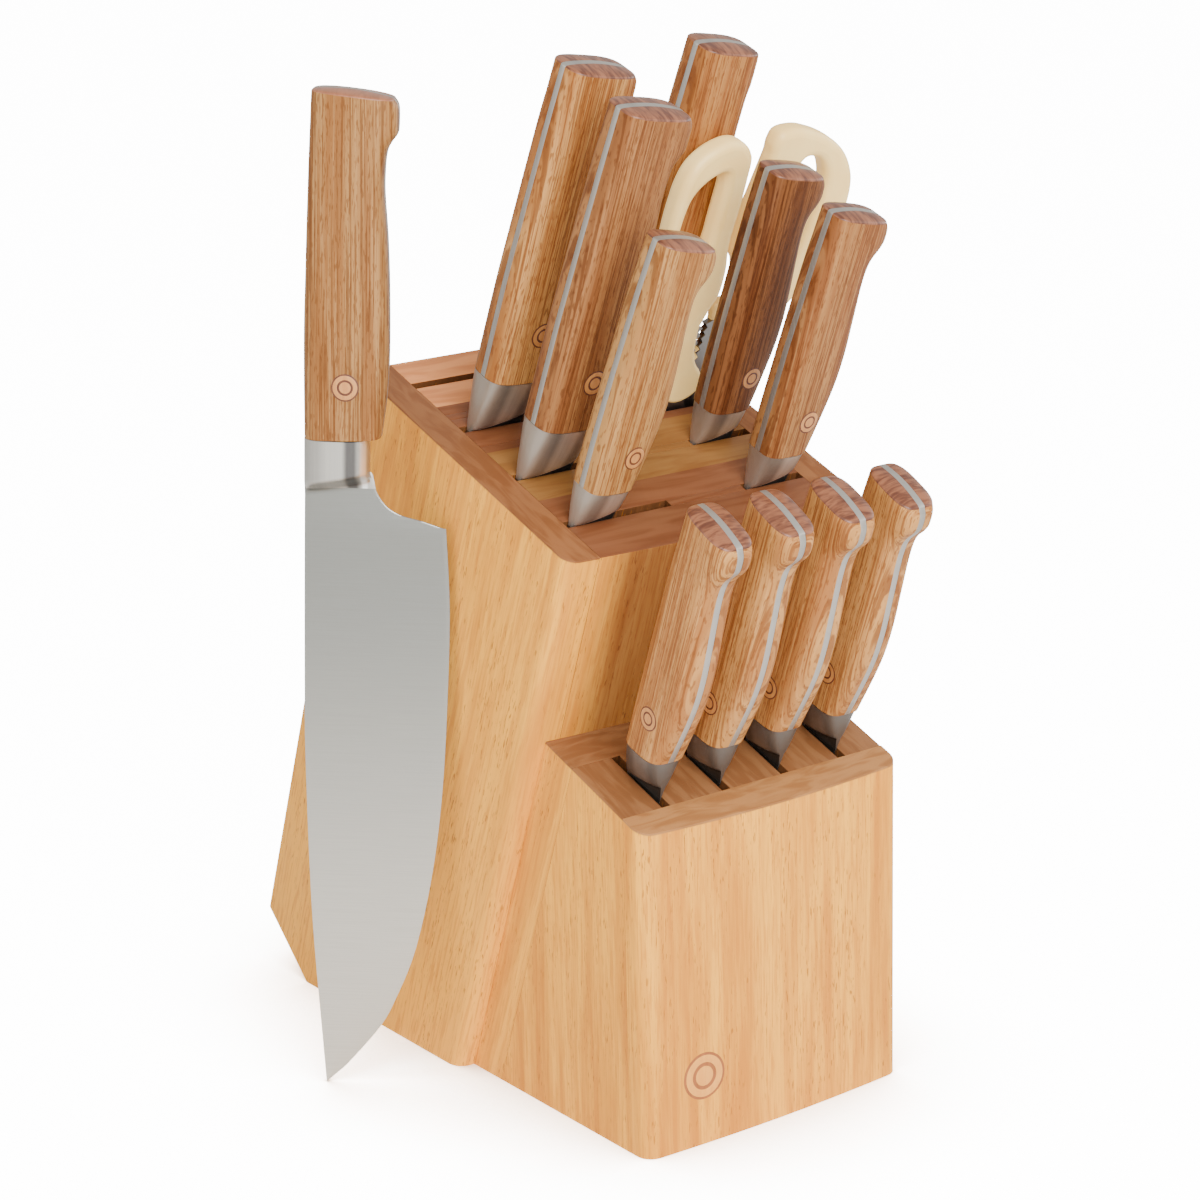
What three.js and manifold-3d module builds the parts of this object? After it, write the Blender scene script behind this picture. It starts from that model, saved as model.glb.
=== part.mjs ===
// Knife block with knives: a leaning laminated block, a lower block for four steak knives,
// seven full-tang kitchen knives and a pair of shears. Millimetres, +Z up, front towards -Y.
// The origin is on the ground, under the middle of the board between the two blocks.
import * as THREE from 'three';
import { mergeVertices } from 'three/addons/utils/BufferGeometryUtils.js';
import Module from 'manifold-3d';

const wasm = await Module();
wasm.setup();

const rad = THREE.MathUtils.degToRad;
const vec = (x, y, z) => new THREE.Vector3(x, y, z);

// Driving sizes of the main block
const LEAN = rad(20.4);
const HALF_WIDTH = 60;
const PANEL = 12;
const CORE_HALF = HALF_WIDTH - PANEL;
const FRONT_FOOT_Y = 7;
const FRONT_LENGTH = 206.4;
const TOP_DEPTH = 122.2;
const BACK_LENGTH = 227.4;
const BACK_FOOT_Y = 104.5;
const MAIN_BOW = 1.5;
const MAIN_EDGE_R = 5;
const GLUE = 0.3;

// Driving sizes of the lower block
const LOW_HALF_WIDTH = 53.5;
const LOW_FRONT_Y = -90;
const LOW_TOP_T = -69.3;
const LOW_BOW = 2;
const LOW_EDGE_R = 5;
const LOW_PANEL = 8.9;
const LOW_SIDE = 15.5;
const BACK_BOARD = 15.3;

// Slots
const SLOT = 3.3;
const STEAK_X = [-36.3, -12.1, 12.1, 36.3];
const SHEARS_SLOT_X = 8;

// The lean frame: x across, s back from the front face, t up along the lean from the top plane
const TOP_FRONT_Y = FRONT_FOOT_Y - FRONT_LENGTH * Math.sin(LEAN);
const TOP_FRONT_Z = FRONT_LENGTH * Math.cos(LEAN);
const S_DIR = vec(0, Math.cos(LEAN), Math.sin(LEAN));
const T_DIR = vec(0, -Math.sin(LEAN), Math.cos(LEAN));
const TOP_CORNER = vec(0, TOP_FRONT_Y, TOP_FRONT_Z);

function leanPoint(x, s, t) {
  return vec(x, 0, 0).add(TOP_CORNER).addScaledVector(S_DIR, s).addScaledVector(T_DIR, t);
}

// t at which a line parallel to the lean, s behind the front face, meets the ground
function groundT(s) {
  return -(TOP_FRONT_Z + s * Math.sin(LEAN)) / Math.cos(LEAN);
}

// The rear foot is bevelled: s of the bevel's lower end, on the ground
const BEVEL_S = (BACK_FOOT_Y - FRONT_FOOT_Y) * Math.cos(LEAN);

// Lower end of a line parallel to the lean, on the ground or on the bevel
function footT(s) {
  if (s <= BEVEL_S) return groundT(s);
  const u = (s - BEVEL_S) / (TOP_DEPTH - BEVEL_S);
  return THREE.MathUtils.lerp(groundT(BEVEL_S), -BACK_LENGTH, u);
}

// Retreat of a bowed face with rounded vertical edges, against its highest line
function faceLine(x, half, bow, radius) {
  const sag = -bow * (1 - (x / half) ** 2);
  const into = Math.abs(x) - (half - radius);
  if (into <= 0) return sag;
  return sag + radius - Math.sqrt(Math.max(0, radius ** 2 - into ** 2));
}

// A closed solid through sections that all have the same number of points
function loft(sections) {
  const n = sections[0].length;
  const positions = sections.flat().flatMap((p) => p.toArray());
  const index = [];
  for (let k = 0; k + 1 < sections.length; k += 1) {
    for (let i = 0; i < n; i += 1) {
      const a = k * n + i;
      const b = k * n + ((i + 1) % n);
      index.push(a, b, b + n, a, b + n, a + n);
    }
  }
  const last = (sections.length - 1) * n;
  for (let i = 1; i + 1 < n; i += 1) {
    index.push(0, i + 1, i);
    index.push(last, last + i, last + i + 1);
  }
  const geometry = new THREE.BufferGeometry();
  geometry.setAttribute('position', new THREE.Float32BufferAttribute(positions, 3));
  geometry.setIndex(index);
  return facedOut(geometry);
}

function signedVolume(geometry) {
  const position = geometry.attributes.position;
  const index = geometry.index;
  const [a, b, c] = [vec(0, 0, 0), vec(0, 0, 0), vec(0, 0, 0)];
  let volume = 0;
  for (let i = 0; i < index.count; i += 3) {
    a.fromBufferAttribute(position, index.getX(i));
    b.fromBufferAttribute(position, index.getX(i + 1));
    c.fromBufferAttribute(position, index.getX(i + 2));
    volume += a.dot(b.cross(c)) / 6;
  }
  return volume;
}

function facedOut(geometry) {
  if (signedVolume(geometry) > 0) return geometry;
  const flipped = [];
  const index = geometry.index;
  for (let i = 0; i < index.count; i += 3) {
    flipped.push(index.getX(i), index.getX(i + 2), index.getX(i + 1));
  }
  geometry.setIndex(flipped);
  return geometry;
}

function welded(geometry) {
  geometry.deleteAttribute('normal');
  geometry.deleteAttribute('uv');
  return mergeVertices(geometry, 1e-4);
}

function extruded(points, depth, holes = [], curveSegments = 6) {
  const shape = points instanceof THREE.Shape ? points : new THREE.Shape(points);
  shape.holes = holes;
  const options = { depth, bevelEnabled: false, curveSegments };
  return welded(new THREE.ExtrudeGeometry(shape, options));
}

// Solid arithmetic
function toManifold(geometry) {
  return new wasm.Manifold(new wasm.Mesh({
    numProp: 3,
    vertProperties: Float32Array.from(geometry.attributes.position.array),
    triVerts: Uint32Array.from(geometry.index.array),
  }));
}

function fromManifold(solid) {
  const mesh = solid.getMesh();
  const geometry = new THREE.BufferGeometry();
  geometry.setAttribute('position', new THREE.BufferAttribute(mesh.vertProperties, 3));
  geometry.setIndex(new THREE.BufferAttribute(mesh.triVerts, 1));
  return geometry;
}

function joined(...geometries) {
  return fromManifold(wasm.Manifold.union(geometries.map(toManifold)));
}

function cut(geometry, ...tools) {
  return fromManifold(toManifold(geometry).subtract(wasm.Manifold.union(tools.map(toManifold))));
}

// Nodes
const group = new THREE.Group();
group.name = 'knife_block_with_knives';

const FINISHES = {
  panel_wood: { color: 0xd9a871, roughness: 0.6, metalness: 0 },
  core_wood: { color: 0xb97f55, roughness: 0.65, metalness: 0 },
  handle_wood: { color: 0xc2936a, roughness: 0.55, metalness: 0 },
  steel: { color: 0xb4b3ae, roughness: 0.35, metalness: 1 },
  cream_plastic: { color: 0xe6dac0, roughness: 0.45, metalness: 0 },
};

function addNode(name, geometry, finish) {
  geometry.computeVertexNormals();
  const material = new THREE.MeshStandardMaterial({ ...FINISHES[finish], name: finish });
  const mesh = new THREE.Mesh(geometry, material);
  mesh.name = name;
  group.add(mesh);
}

// A board of the main block between two planes of s and two of x
function boardSection(x, s0, s1) {
  const line = [leanPoint(x, s0, 0), leanPoint(x, s0, footT(s0))];
  if (s0 < BEVEL_S && s1 > BEVEL_S) line.push(leanPoint(x, BEVEL_S, groundT(BEVEL_S)));
  line.push(leanPoint(x, s1, footT(s1)), leanPoint(x, s1, 0));
  return line;
}

function addBoard(name, x0, x1, s0, s1) {
  const xs = [x0, x1];
  addNode(name, loft(xs.map((x) => boardSection(x, s0, s1))), 'core_wood');
}

function stations(x0, x1, count) {
  return Array.from({ length: count + 1 }, (_, i) => x0 + ((x1 - x0) * i) / count);
}

// Stations across a panel that crowd where its edge is rounded
function panelStations(inner, outer, radius, steps = 4) {
  const sign = Math.sign(outer);
  const start = Math.abs(outer) - radius;
  const arc = stations(0, Math.PI / 2, steps).map((a) => sign * (start + radius * Math.sin(a)));
  return [inner, ...arc];
}

function mainFace(x) {
  return faceLine(x, HALF_WIDTH, MAIN_BOW, MAIN_EDGE_R);
}

function lowFace(x) {
  return LOW_FRONT_Y + faceLine(x, LOW_HALF_WIDTH, LOW_BOW, LOW_EDGE_R);
}

function addMainPanels() {
  const rearRadius = 1.5;
  for (const [name, sign] of [['left_side_panel', -1], ['right_side_panel', 1]]) {
    const xs = panelStations(sign * CORE_HALF, sign * HALF_WIDTH, MAIN_EDGE_R);
    const sections = xs.map((x) => {
      const into = Math.max(0, Math.abs(x) - (HALF_WIDTH - rearRadius));
      const rear = TOP_DEPTH - rearRadius + Math.sqrt(rearRadius ** 2 - into ** 2);
      return boardSection(x, mainFace(x), rear);
    });
    addNode(name, loft(sections), 'panel_wood');
  }
}

// Rows of slots, from the front: s of the slot, and the filled stretches of x beside its knives
const IN = CORE_HALF - GLUE;
const LEFT_SLOT_END = -7;
const RIGHT_SLOT_START = 23.4;
const K4_SLOT_START = 13.4;
const CHEF_SLOT_END = 2;
const ROW = { r4: 17.1, r3: 45.9, shears: 67.4, r2: 76.5, k4: 84.6, r1: 105.5 };

function addMainCore() {
  const frontXs = stations(-IN, IN, 6);
  const front = frontXs.map((x) => boardSection(x, mainFace(x), ROW.r4 - GLUE));
  addNode('core_board_front', loft(front), 'core_wood');
  addBoard('core_board_2', -IN, IN, ROW.r4 + SLOT, ROW.r3 - GLUE);
  addBoard('core_board_3', -IN, IN, ROW.r3 + SLOT, ROW.shears - GLUE);
  addBoard('core_board_4', -IN, IN, ROW.r2 + SLOT, ROW.k4 - GLUE);
  addBoard('core_board_5', -IN, IN, ROW.k4 + SLOT, ROW.r1 - GLUE);
  addBoard('core_board_rear', -IN, IN, ROW.r1 + SLOT, TOP_DEPTH);
  const fill = SLOT - GLUE;
  addBoard('slot_spacer_row_4', LEFT_SLOT_END, RIGHT_SLOT_START, ROW.r4, ROW.r4 + fill);
  addBoard('slot_spacer_row_3', LEFT_SLOT_END, RIGHT_SLOT_START, ROW.r3, ROW.r3 + fill);
  addBoard('shears_slot_board', -IN, SHEARS_SLOT_X, ROW.shears, ROW.r2 - GLUE);
  addBoard('slot_spacer_row_2', LEFT_SLOT_END, IN, ROW.r2, ROW.r2 + fill);
  addBoard('slot_spacer_carving', -IN, K4_SLOT_START, ROW.k4, ROW.k4 + fill);
  addBoard('slot_spacer_chef', CHEF_SLOT_END, IN, ROW.r1, ROW.r1 + fill);
}

// Height of the lower block's top over a given y
const LOW_TOP = leanPoint(0, 0, LOW_TOP_T);
function lowTopZ(y) {
  return LOW_TOP.z + (y - LOW_TOP.y) * Math.tan(LEAN);
}

function addLowerBlock() {
  const inner = LOW_FRONT_Y + LOW_PANEL;
  const half = [...panelStations(0, LOW_HALF_WIDTH, LOW_EDGE_R)];
  half.splice(1, 0, half[1] / 2);
  const xs = [...half.slice(1).reverse().map((x) => -x), ...half];
  const front = xs.map((x) => {
    const y = lowFace(x);
    return [vec(x, y, 0), vec(x, y, lowTopZ(y)), vec(x, inner, lowTopZ(inner)), vec(x, inner, 0)];
  });
  addNode('lower_front_panel', loft(front), 'panel_wood');
  addNode('lower_back_board', loft(stations(-LOW_HALF_WIDTH, LOW_HALF_WIDTH, 6).map((x) => {
    const rear = -MAIN_BOW * (1 - (x / HALF_WIDTH) ** 2) - GLUE;
    return [
      leanPoint(x, rear, LOW_TOP_T),
      leanPoint(x, rear, groundT(rear)),
      leanPoint(x, -BACK_BOARD, groundT(-BACK_BOARD)),
      leanPoint(x, -BACK_BOARD, LOW_TOP_T),
    ];
  })), 'panel_wood');
  const sideStart = STEAK_X[3] + SLOT / 2;
  addLowerSlat('lower_side_board_left', -LOW_HALF_WIDTH, -sideStart);
  addLowerSlat('lower_side_board_right', sideStart, LOW_HALF_WIDTH);
  for (let i = 0; i < 3; i += 1) {
    const x0 = STEAK_X[i] + SLOT / 2;
    addLowerSlat(`lower_slat_${i + 1}`, x0, STEAK_X[i + 1] - SLOT / 2);
  }
}

// A slat fills the wedge between the upright front panel and the leaning back board
function addLowerSlat(name, x0, x1) {
  const front = LOW_FRONT_Y + LOW_PANEL + GLUE;
  const rearS = -BACK_BOARD - GLUE;
  addNode(name, loft([x0, x1].map((x) => [
    vec(x, front, 0),
    vec(x, front, lowTopZ(front)),
    leanPoint(x, rearS, LOW_TOP_T),
    leanPoint(x, rearS, groundT(rearS)),
  ])), 'panel_wood');
}

// Knives. Own frame: a from the spine towards the edge, b through the thickness,
// z from the bottom of the bolster's spine up to the butt.
// Each station of a handle is a spine point and an edge point.
const LARGE = {
  length: 131.2,
  thick: 17,
  bolster: { edgeZ: 4.2, edgeA: 20.6, topEdgeA: 20.8 },
  stations: [
    [0.2, 19.8, 24.5, 20.4], [0, 38.6, 26.2, 36.6], [0, 55.6, 26.8, 50], [0.4, 71.6, 26.7, 68.6],
    [0.8, 87.6, 26.1, 84], [1.2, 100, 25, 97], [1.5, 110, 25.5, 108.5], [1.8, 116, 27.6, 115.4],
    [2, 121, 29.3, 119.3], [2.2, 126, 29.2, 123.8], [2.3, 129.4, 27.8, 127],
  ],
};
const SMALL = {
  length: 102,
  thick: 14.5,
  bolster: { edgeZ: 3.5, edgeA: 16.2, topEdgeA: 16.8 },
  stations: [
    [0, 13.7, 17.2, 14.2], [-0.1, 28, 20.2, 28], [0, 40, 22, 39], [0.2, 52, 22.4, 50],
    [0.6, 64, 21.6, 63], [1, 75, 20.8, 75], [1.3, 83, 21.2, 81.5], [1.6, 89, 23.4, 87],
    [1.9, 93.6, 25.4, 91.4], [2.2, 97.6, 25.2, 95], [2.4, 100.4, 23.8, 97.4],
  ],
};
// The chef's knife has a longer bolster edge; the carving knife's butt flares less
const CHEF = { ...LARGE, bolster: { ...LARGE.bolster, edgeZ: 8.6 } };
const FLARE_FROM = 25;
const CARVING_FLARE = 0.2;
const PLAIN_BUTT = {
  ...LARGE,
  stations: LARGE.stations.map(([as, zs, ae, ze]) => {
    const flared = zs > 105 ? FLARE_FROM + (ae - FLARE_FROM) * CARVING_FLARE : ae;
    return [as, zs, flared, ze];
  }),
};
const TANG = 2.4;
const BUTT_RISE = 1.8;
const BLADE = 2.2;

// Handle stations stretched from the wood's lower end so that the butt is at the given length
function stretched(pattern, length) {
  const z0 = pattern.stations[0][1];
  const k = (length - z0) / (pattern.length - z0);
  return pattern.stations.map(([as, zs, ae, ze]) => [as, z0 + (zs - z0) * k, ae, z0 + (ze - z0) * k]);
}

// Half an oval standing on the tang's face: a flat side, rounded spine and edge
function halfOval([as, zs, ae, ze], side, halfThick, steps = 8) {
  const base = TANG / 2 + GLUE / 2;
  return stations(0, Math.PI, steps).map((angle) => {
    const c = -Math.cos(angle);
    const u = (1 + Math.sign(c) * Math.abs(c) ** 0.75) / 2;
    const b = side * (base + (halfThick - base) * Math.sin(angle) ** 0.6);
    return vec(as + (ae - as) * u, b, zs + (ze - zs) * u);
  });
}

function scale(pattern, length, side) {
  const rows = stretched(pattern, length);
  const half = pattern.thick / 2;
  const sections = rows.map((row) => halfOval(row, side, half));
  const [as, zs, ae, ze] = rows[rows.length - 1];
  const inset = 2.2;
  const crown = [as + inset, zs + BUTT_RISE, ae - inset, ze + BUTT_RISE];
  sections.push(halfOval(crown, side, half - 1.2));
  return loft(sections);
}

// An oval ring for the bolster, four-sided but soft
function ring([as, zs, ae, ze], half, steps = 14) {
  return stations(0, 2 * Math.PI, steps).slice(0, -1).map((angle) => {
    const c = Math.cos(angle);
    const n = Math.sin(angle);
    const u = (1 + Math.sign(c) * Math.abs(c) ** 0.7) / 2;
    return vec(as + (ae - as) * u, half * Math.sign(n) * Math.abs(n) ** 0.7, zs + (ze - zs) * u);
  });
}

function bolster(pattern) {
  const { edgeZ, edgeA, topEdgeA } = pattern.bolster;
  const [as, zs, , ze] = pattern.stations[0];
  const top = [as, zs - GLUE, topEdgeA, ze - GLUE];
  const low = [0, 0, edgeA, edgeZ];
  const swell = [[0, 0.19], [0.25, 0.44], [0.5, 0.68], [0.75, 0.88], [1, 1]];
  return loft(swell.map(([u, k]) => {
    const row = low.map((value, i) => THREE.MathUtils.lerp(value, top[i], u));
    return ring(row, (pattern.thick / 2) * k);
  }));
}

// The plate is drawn in the a-z plane and centred in thickness
function plate(outline, thickness) {
  const flat = extruded(outline, thickness);
  flat.translate(0, 0, -thickness / 2);
  flat.rotateX(Math.PI / 2);
  return facedOut(flat);
}

function tangOutline(pattern, length) {
  const rows = stretched(pattern, length);
  const low = 6;
  const spine = rows.map(([as, zs]) => new THREE.Vector2(as, zs));
  const edge = rows.map(([, , ae, ze]) => new THREE.Vector2(ae, ze));
  const [buttSpine, buttEdge] = [spine[spine.length - 1], edge[edge.length - 1]];
  const crown = [[0.1, 0.9], [0.4, 1], [0.75, 0.8]].map(([u, k]) => {
    const point = buttSpine.clone().lerp(buttEdge, u);
    point.y += BUTT_RISE * k;
    return point;
  });
  const start = new THREE.Vector2(0, rows[0][1] - low);
  const end = new THREE.Vector2(pattern.bolster.topEdgeA, rows[0][1] - low);
  const step = new THREE.Vector2(pattern.bolster.topEdgeA, rows[0][3]);
  return [start, ...spine, ...crown, ...edge.reverse(), step, end];
}

// Blade: straight spine, belly curve and a heel that meets the bolster's lower edge
function bladeOutline(pattern, blade) {
  const { length, height, tip, heel, round } = blade;
  const { edgeA, edgeZ } = pattern.bolster;
  const shape = new THREE.Shape();
  shape.moveTo(0, 8);
  shape.lineTo(0, -length * 0.55);
  shape.quadraticCurveTo(0, -length * 0.85, tip, -length);
  shape.quadraticCurveTo(height * round, -length * 0.9, height, -length * 0.55);
  shape.lineTo(height, -heel);
  shape.lineTo(edgeA - 1, -heel + 2);
  shape.lineTo(edgeA - 1, edgeZ + 4);
  return shape;
}

function chefBladeOutline() {
  const shape = new THREE.Shape();
  shape.moveTo(0.1, 8);
  shape.lineTo(-0.1, -33);
  shape.lineTo(0, -86);
  shape.quadraticCurveTo(1.5, -142, CHEF_TIP_A, -CHEF_BLADE);
  shape.quadraticCurveTo(33.5, -162, 42.5, -118);
  shape.quadraticCurveTo(48.2, -84, 46.8, -33);
  shape.lineTo(45.4, -9.4);
  shape.quadraticCurveTo(24.5, -6, 23, 1.4);
  shape.quadraticCurveTo(22.6, 6.4, 20.4, 8.6);
  shape.lineTo(20.4, 13.2);
  return shape;
}

// Three solids in the knife's own frame. The cant turns the handle, in the plane of the blade,
// about the bolster's lower spine corner.
function knifeSolids(pattern, length, outline, { thickness = BLADE, cant = 0 } = {}) {
  const blade = plate(outline, thickness);
  const tang = plate(tangOutline(pattern, length), TANG);
  const turn = (geometry) => geometry.rotateY(rad(cant));
  return {
    steel: joined(blade, turn(tang), turn(bolster(pattern))),
    front: turn(scale(pattern, length, -1)),
    back: turn(scale(pattern, length, 1)),
  };
}

function placed(geometry, origin, a, z) {
  const b = new THREE.Vector3().crossVectors(z, a);
  const matrix = new THREE.Matrix4().makeBasis(a, b, z).setPosition(origin);
  return geometry.clone().applyMatrix4(matrix);
}

function addKnife(name, solids, origin, a, z) {
  addNode(`${name}_blade`, placed(solids.steel, origin, a, z), 'steel');
  addNode(`${name}_scale_front`, placed(solids.front, origin, a, z), 'handle_wood');
  addNode(`${name}_scale_back`, placed(solids.back, origin, a, z), 'handle_wood');
}

const X_DIR = vec(1, 0, 0);

// Knives in the main block: handle length, spine x at the top plane, s of the slot, cant
const BREAD = { length: 203, height: 30, tip: 12, heel: 8, round: 0.85 };
const SANTOKU = { length: 178, height: 37, tip: 16, heel: 8, round: 0.95 };
const CARVING = { length: 203, height: 28, tip: 8, heel: 8, round: 0.8 };
const UTILITY = { length: 140, height: 24, tip: 6, heel: 7, round: 0.8 };
const TOMATO = { length: 115, height: 19, tip: 4, heel: 7, round: 0.8 };
const PARING = { length: 89, height: 19, tip: 5, heel: 6, round: 0.8 };
const MAIN_KNIVES = [
  ['bread_knife', LARGE, 129.4, BREAD, -44.9, 78.2, 3.1],
  ['santoku_knife', LARGE, 129.8, SANTOKU, -46.2, 47.6, 3.1],
  ['carving_knife', PLAIN_BUTT, 127.4, CARVING, 13.9, 86.3, 2.9],
  ['utility_knife', SMALL, 100.4, UTILITY, -45.8, 18.8, 3.7],
  ['tomato_knife', SMALL, 101, TOMATO, 24.2, 47.6, 1.1],
  ['paring_knife', SMALL, 100.4, PARING, 25.2, 18.8, 2.3],
];

function addMainKnives() {
  for (const [name, pattern, length, blade, x, s, cant] of MAIN_KNIVES) {
    const solids = knifeSolids(pattern, length, bladeOutline(pattern, blade), { cant });
    addKnife(name, solids, leanPoint(x, s, 0), X_DIR, T_DIR);
  }
}

// Steak knives: edges to the front, spines near the back board
const STEAK = { length: 112, height: 17.5, tip: 5, heel: 6, round: 0.8 };
const STEAK_BLADE = 1.8;
const STEAK_SPINE = 7.7;
const STEAK_LIFT = 1;

function addSteakKnives() {
  const solids = knifeSolids(SMALL, 102, bladeOutline(SMALL, STEAK), { thickness: STEAK_BLADE });
  const a = S_DIR.clone().negate();
  STEAK_X.forEach((x, i) => {
    const origin = leanPoint(x, -BACK_BOARD - STEAK_SPINE, LOW_TOP_T + STEAK_LIFT);
    addKnife(`steak_knife_${i + 1}`, solids, origin, a, T_DIR);
  });
}

// The chef's knife stands on its tip beside the block, flat side to the front left
const CHEF_BLADE = 204.1;
const CHEF_TIP_A = 7.6;
const CHEF_TIP = vec(-99.4, 27.5, 0.05);
const CHEF_TURN = rad(-40);
const CHEF_TILT = rad(2.9);

function addChefKnife() {
  const solids = knifeSolids(CHEF, CHEF.length, chefBladeOutline());
  const across = vec(Math.cos(CHEF_TURN), Math.sin(CHEF_TURN), 0);
  const up = vec(0, 0, 1);
  const z = up.clone().multiplyScalar(Math.cos(CHEF_TILT)).addScaledVector(across, Math.sin(CHEF_TILT));
  const a = across.clone().multiplyScalar(Math.cos(CHEF_TILT)).addScaledVector(up, -Math.sin(CHEF_TILT));
  const origin = CHEF_TIP.clone().addScaledVector(a, -CHEF_TIP_A).addScaledVector(z, CHEF_BLADE);
  addKnife('chef_knife', solids, origin, a, z);
}

// Shears. Own frame: p across, q up along their axis from the block's top, b through them.
const SHEARS_S = 71;
const SHEARS_X = 35;
const SHEARS_LIFT = -1.4;
const SHEARS_TILT = rad(6.7);
const SHEARS_PIVOT_Q = -12;
const SHEARS_STEEL = 2.4;
const LOOP_THICK = 8;
const STEEL_GAP = 0.15;

// Outlines of the handles as smooth closed curves: the loops differ, and the left one is smaller
function closedCurve(points, divisions) {
  const curve = new THREE.CatmullRomCurve3(points.map(([p, q]) => vec(p, q, 0)), true, 'centripetal');
  return curve.getPoints(divisions).slice(0, -1).map((v) => new THREE.Vector2(v.x, v.y));
}

const LEFT_LOOP = [
  [-4.2, 91], [-6, 95.4], [-10, 98.4], [-15, 99.2], [-20.4, 97.4], [-25.4, 94], [-29, 89.2],
  [-30.6, 83], [-30.8, 76], [-30.4, 68], [-29, 55], [-27, 44.4], [-22.6, 33], [-15, 27],
  [-8, 30], [-3, 36], [-0.6, 40.2], [0.6, 45], [0, 53], [-1.8, 60], [-2.6, 66], [-3, 79],
];
const LEFT_HOLE = [
  [-11.4, 64], [-11.8, 70], [-12.2, 77], [-12.8, 84], [-14.4, 87.8], [-18.6, 86.2],
  [-22.4, 82.8], [-24.8, 78.6], [-25.6, 73], [-25.4, 66], [-24.4, 57], [-21.6, 48], [-17.6, 42],
  [-13.6, 45], [-11.6, 54],
];
const RIGHT_LOOP = [
  [1.6, 76], [1, 64], [1.4, 58.5], [4.6, 54], [6.2, 48], [6.8, 42], [7.5, 36], [12, 30],
  [20, 28], [29, 34], [36, 44], [41, 54], [44.2, 66], [44.5, 77], [42.9, 85], [39.6, 91],
  [35.2, 95.6], [29.9, 99], [23, 101.8], [16.7, 103.3], [10.9, 103.9], [4.6, 102.3],
  [2.9, 98], [3.2, 92],
];
const RIGHT_HOLE = [
  [15.6, 84], [14.6, 72], [13.8, 56], [14.8, 45], [18.5, 41], [23, 45], [27.5, 54],
  [30.5, 65], [31.5, 76], [30.8, 84], [28.4, 89.5], [24.9, 92.9], [20, 93.6], [17.2, 91],
];
// The left handle's arm, in front; the right handle's is the same one turned
const ARM = [
  [-16, 36], [-9, 40], [-3, 38.6], [-3.4, 35.2], [-4.2, 31.7], [-3.7, 27.7], [-2.6, 22],
  [-0.2, 17.8], [2.6, 15], [4.3, 11.7], [4.3, 8.5], [1.6, 5.4], [-2.7, 3.4], [-7, 3.6],
  [-11.5, 6.5], [-14.5, 12], [-17, 22],
];

function shearsPlate(outline, b0, b1, holes = []) {
  const flat = extruded(outline, b1 - b0, holes);
  flat.translate(0, 0, -b1);
  flat.rotateX(Math.PI / 2);
  return facedOut(flat);
}

function loopSolid(outline, opening) {
  const hole = new THREE.Path(closedCurve(opening, 30));
  return shearsPlate(closedCurve(outline, 48), -LOOP_THICK / 2, LOOP_THICK / 2, [hole]);
}

// One steel half, left one in front: toothed jaw inside the handle, shoulder and blade below
function steelOutline() {
  const teeth = 5;
  const jaw = stations(17, 31, teeth * 2).map((q, i) => [i % 2 ? -2.9 : -1.7, q]);
  const rim = [
    [9.6, -12], [9, -6], [2, 1], [-1.5, 6], [-3.6, 13], ...jaw, [-6, 33], [-11, 33],
    [-10.5, 12], [-10, 0], [-10.4, -12], [-9.6, -24], [-6, -60], [0, -106], [1.6, -108],
    [6, -60], [8.2, -24],
  ];
  return rim.map(([p, q]) => new THREE.Vector2(p, q));
}

function steelHalf() {
  return shearsPlate(steelOutline(), -STEEL_GAP - SHEARS_STEEL, -STEEL_GAP);
}

// Room for the steel inside the handle, a little larger all round
function steelPocket(grow) {
  const outline = steelOutline().map((v) => v.toArray());
  const grown = new wasm.CrossSection([outline], 'NonZero').offset(grow);
  const points = grown.toPolygons()[0].map(([p, q]) => new THREE.Vector2(p, q));
  return shearsPlate(points, -STEEL_GAP - SHEARS_STEEL - grow, LOOP_THICK);
}

function pivotSolid(radius, half) {
  const disc = new THREE.CylinderGeometry(radius, radius, 2 * half, 20);
  const solid = welded(disc);
  solid.translate(0, 0, SHEARS_PIVOT_Q);
  return solid;
}

// The other steel half is the first one turned half a turn about the shears' axis
function turnedHalf(geometry) {
  return geometry.clone().rotateZ(Math.PI);
}

function addShears() {
  const bore = pivotSolid(3.1, 10);
  const steel = cut(steelHalf(), bore);
  const pocket = steelPocket(STEEL_GAP * 2);
  const arm = shearsPlate(closedCurve(ARM, 32), -LOOP_THICK / 2, -STEEL_GAP);
  const left = cut(joined(loopSolid(LEFT_LOOP, LEFT_HOLE), arm), pocket);
  const right = cut(joined(loopSolid(RIGHT_LOOP, RIGHT_HOLE), turnedHalf(arm)), turnedHalf(pocket));
  const pivot = joined(pivotSolid(3, 3.2), headDisc(1), headDisc(-1));
  const z = T_DIR.clone().applyAxisAngle(S_DIR, SHEARS_TILT);
  const a = X_DIR.clone().applyAxisAngle(S_DIR, SHEARS_TILT);
  const origin = leanPoint(SHEARS_X, SHEARS_S, SHEARS_LIFT);
  const parts = [
    ['shears_blade_left', steel, 'steel'],
    ['shears_blade_right', turnedHalf(steel), 'steel'],
    ['shears_handle_left', left, 'cream_plastic'],
    ['shears_handle_right', right, 'cream_plastic'],
    ['shears_pivot', pivot, 'steel'],
  ];
  for (const [name, geometry, finish] of parts) {
    addNode(name, placed(geometry, origin, a, z), finish);
  }
}

function headDisc(side) {
  const disc = welded(new THREE.CylinderGeometry(5, 5, 0.9, 20));
  disc.translate(0, side * (SHEARS_STEEL + STEEL_GAP * 2 + 0.45), SHEARS_PIVOT_Q);
  return disc;
}

addMainPanels();
addMainCore();
addLowerBlock();
addMainKnives();
addSteakKnives();
addChefKnife();
addShears();

export default group;
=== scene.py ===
"""Knife block with knives: the looks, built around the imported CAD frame. Lengths are in
millimetres until mesh_object turns them into metres."""

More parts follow.
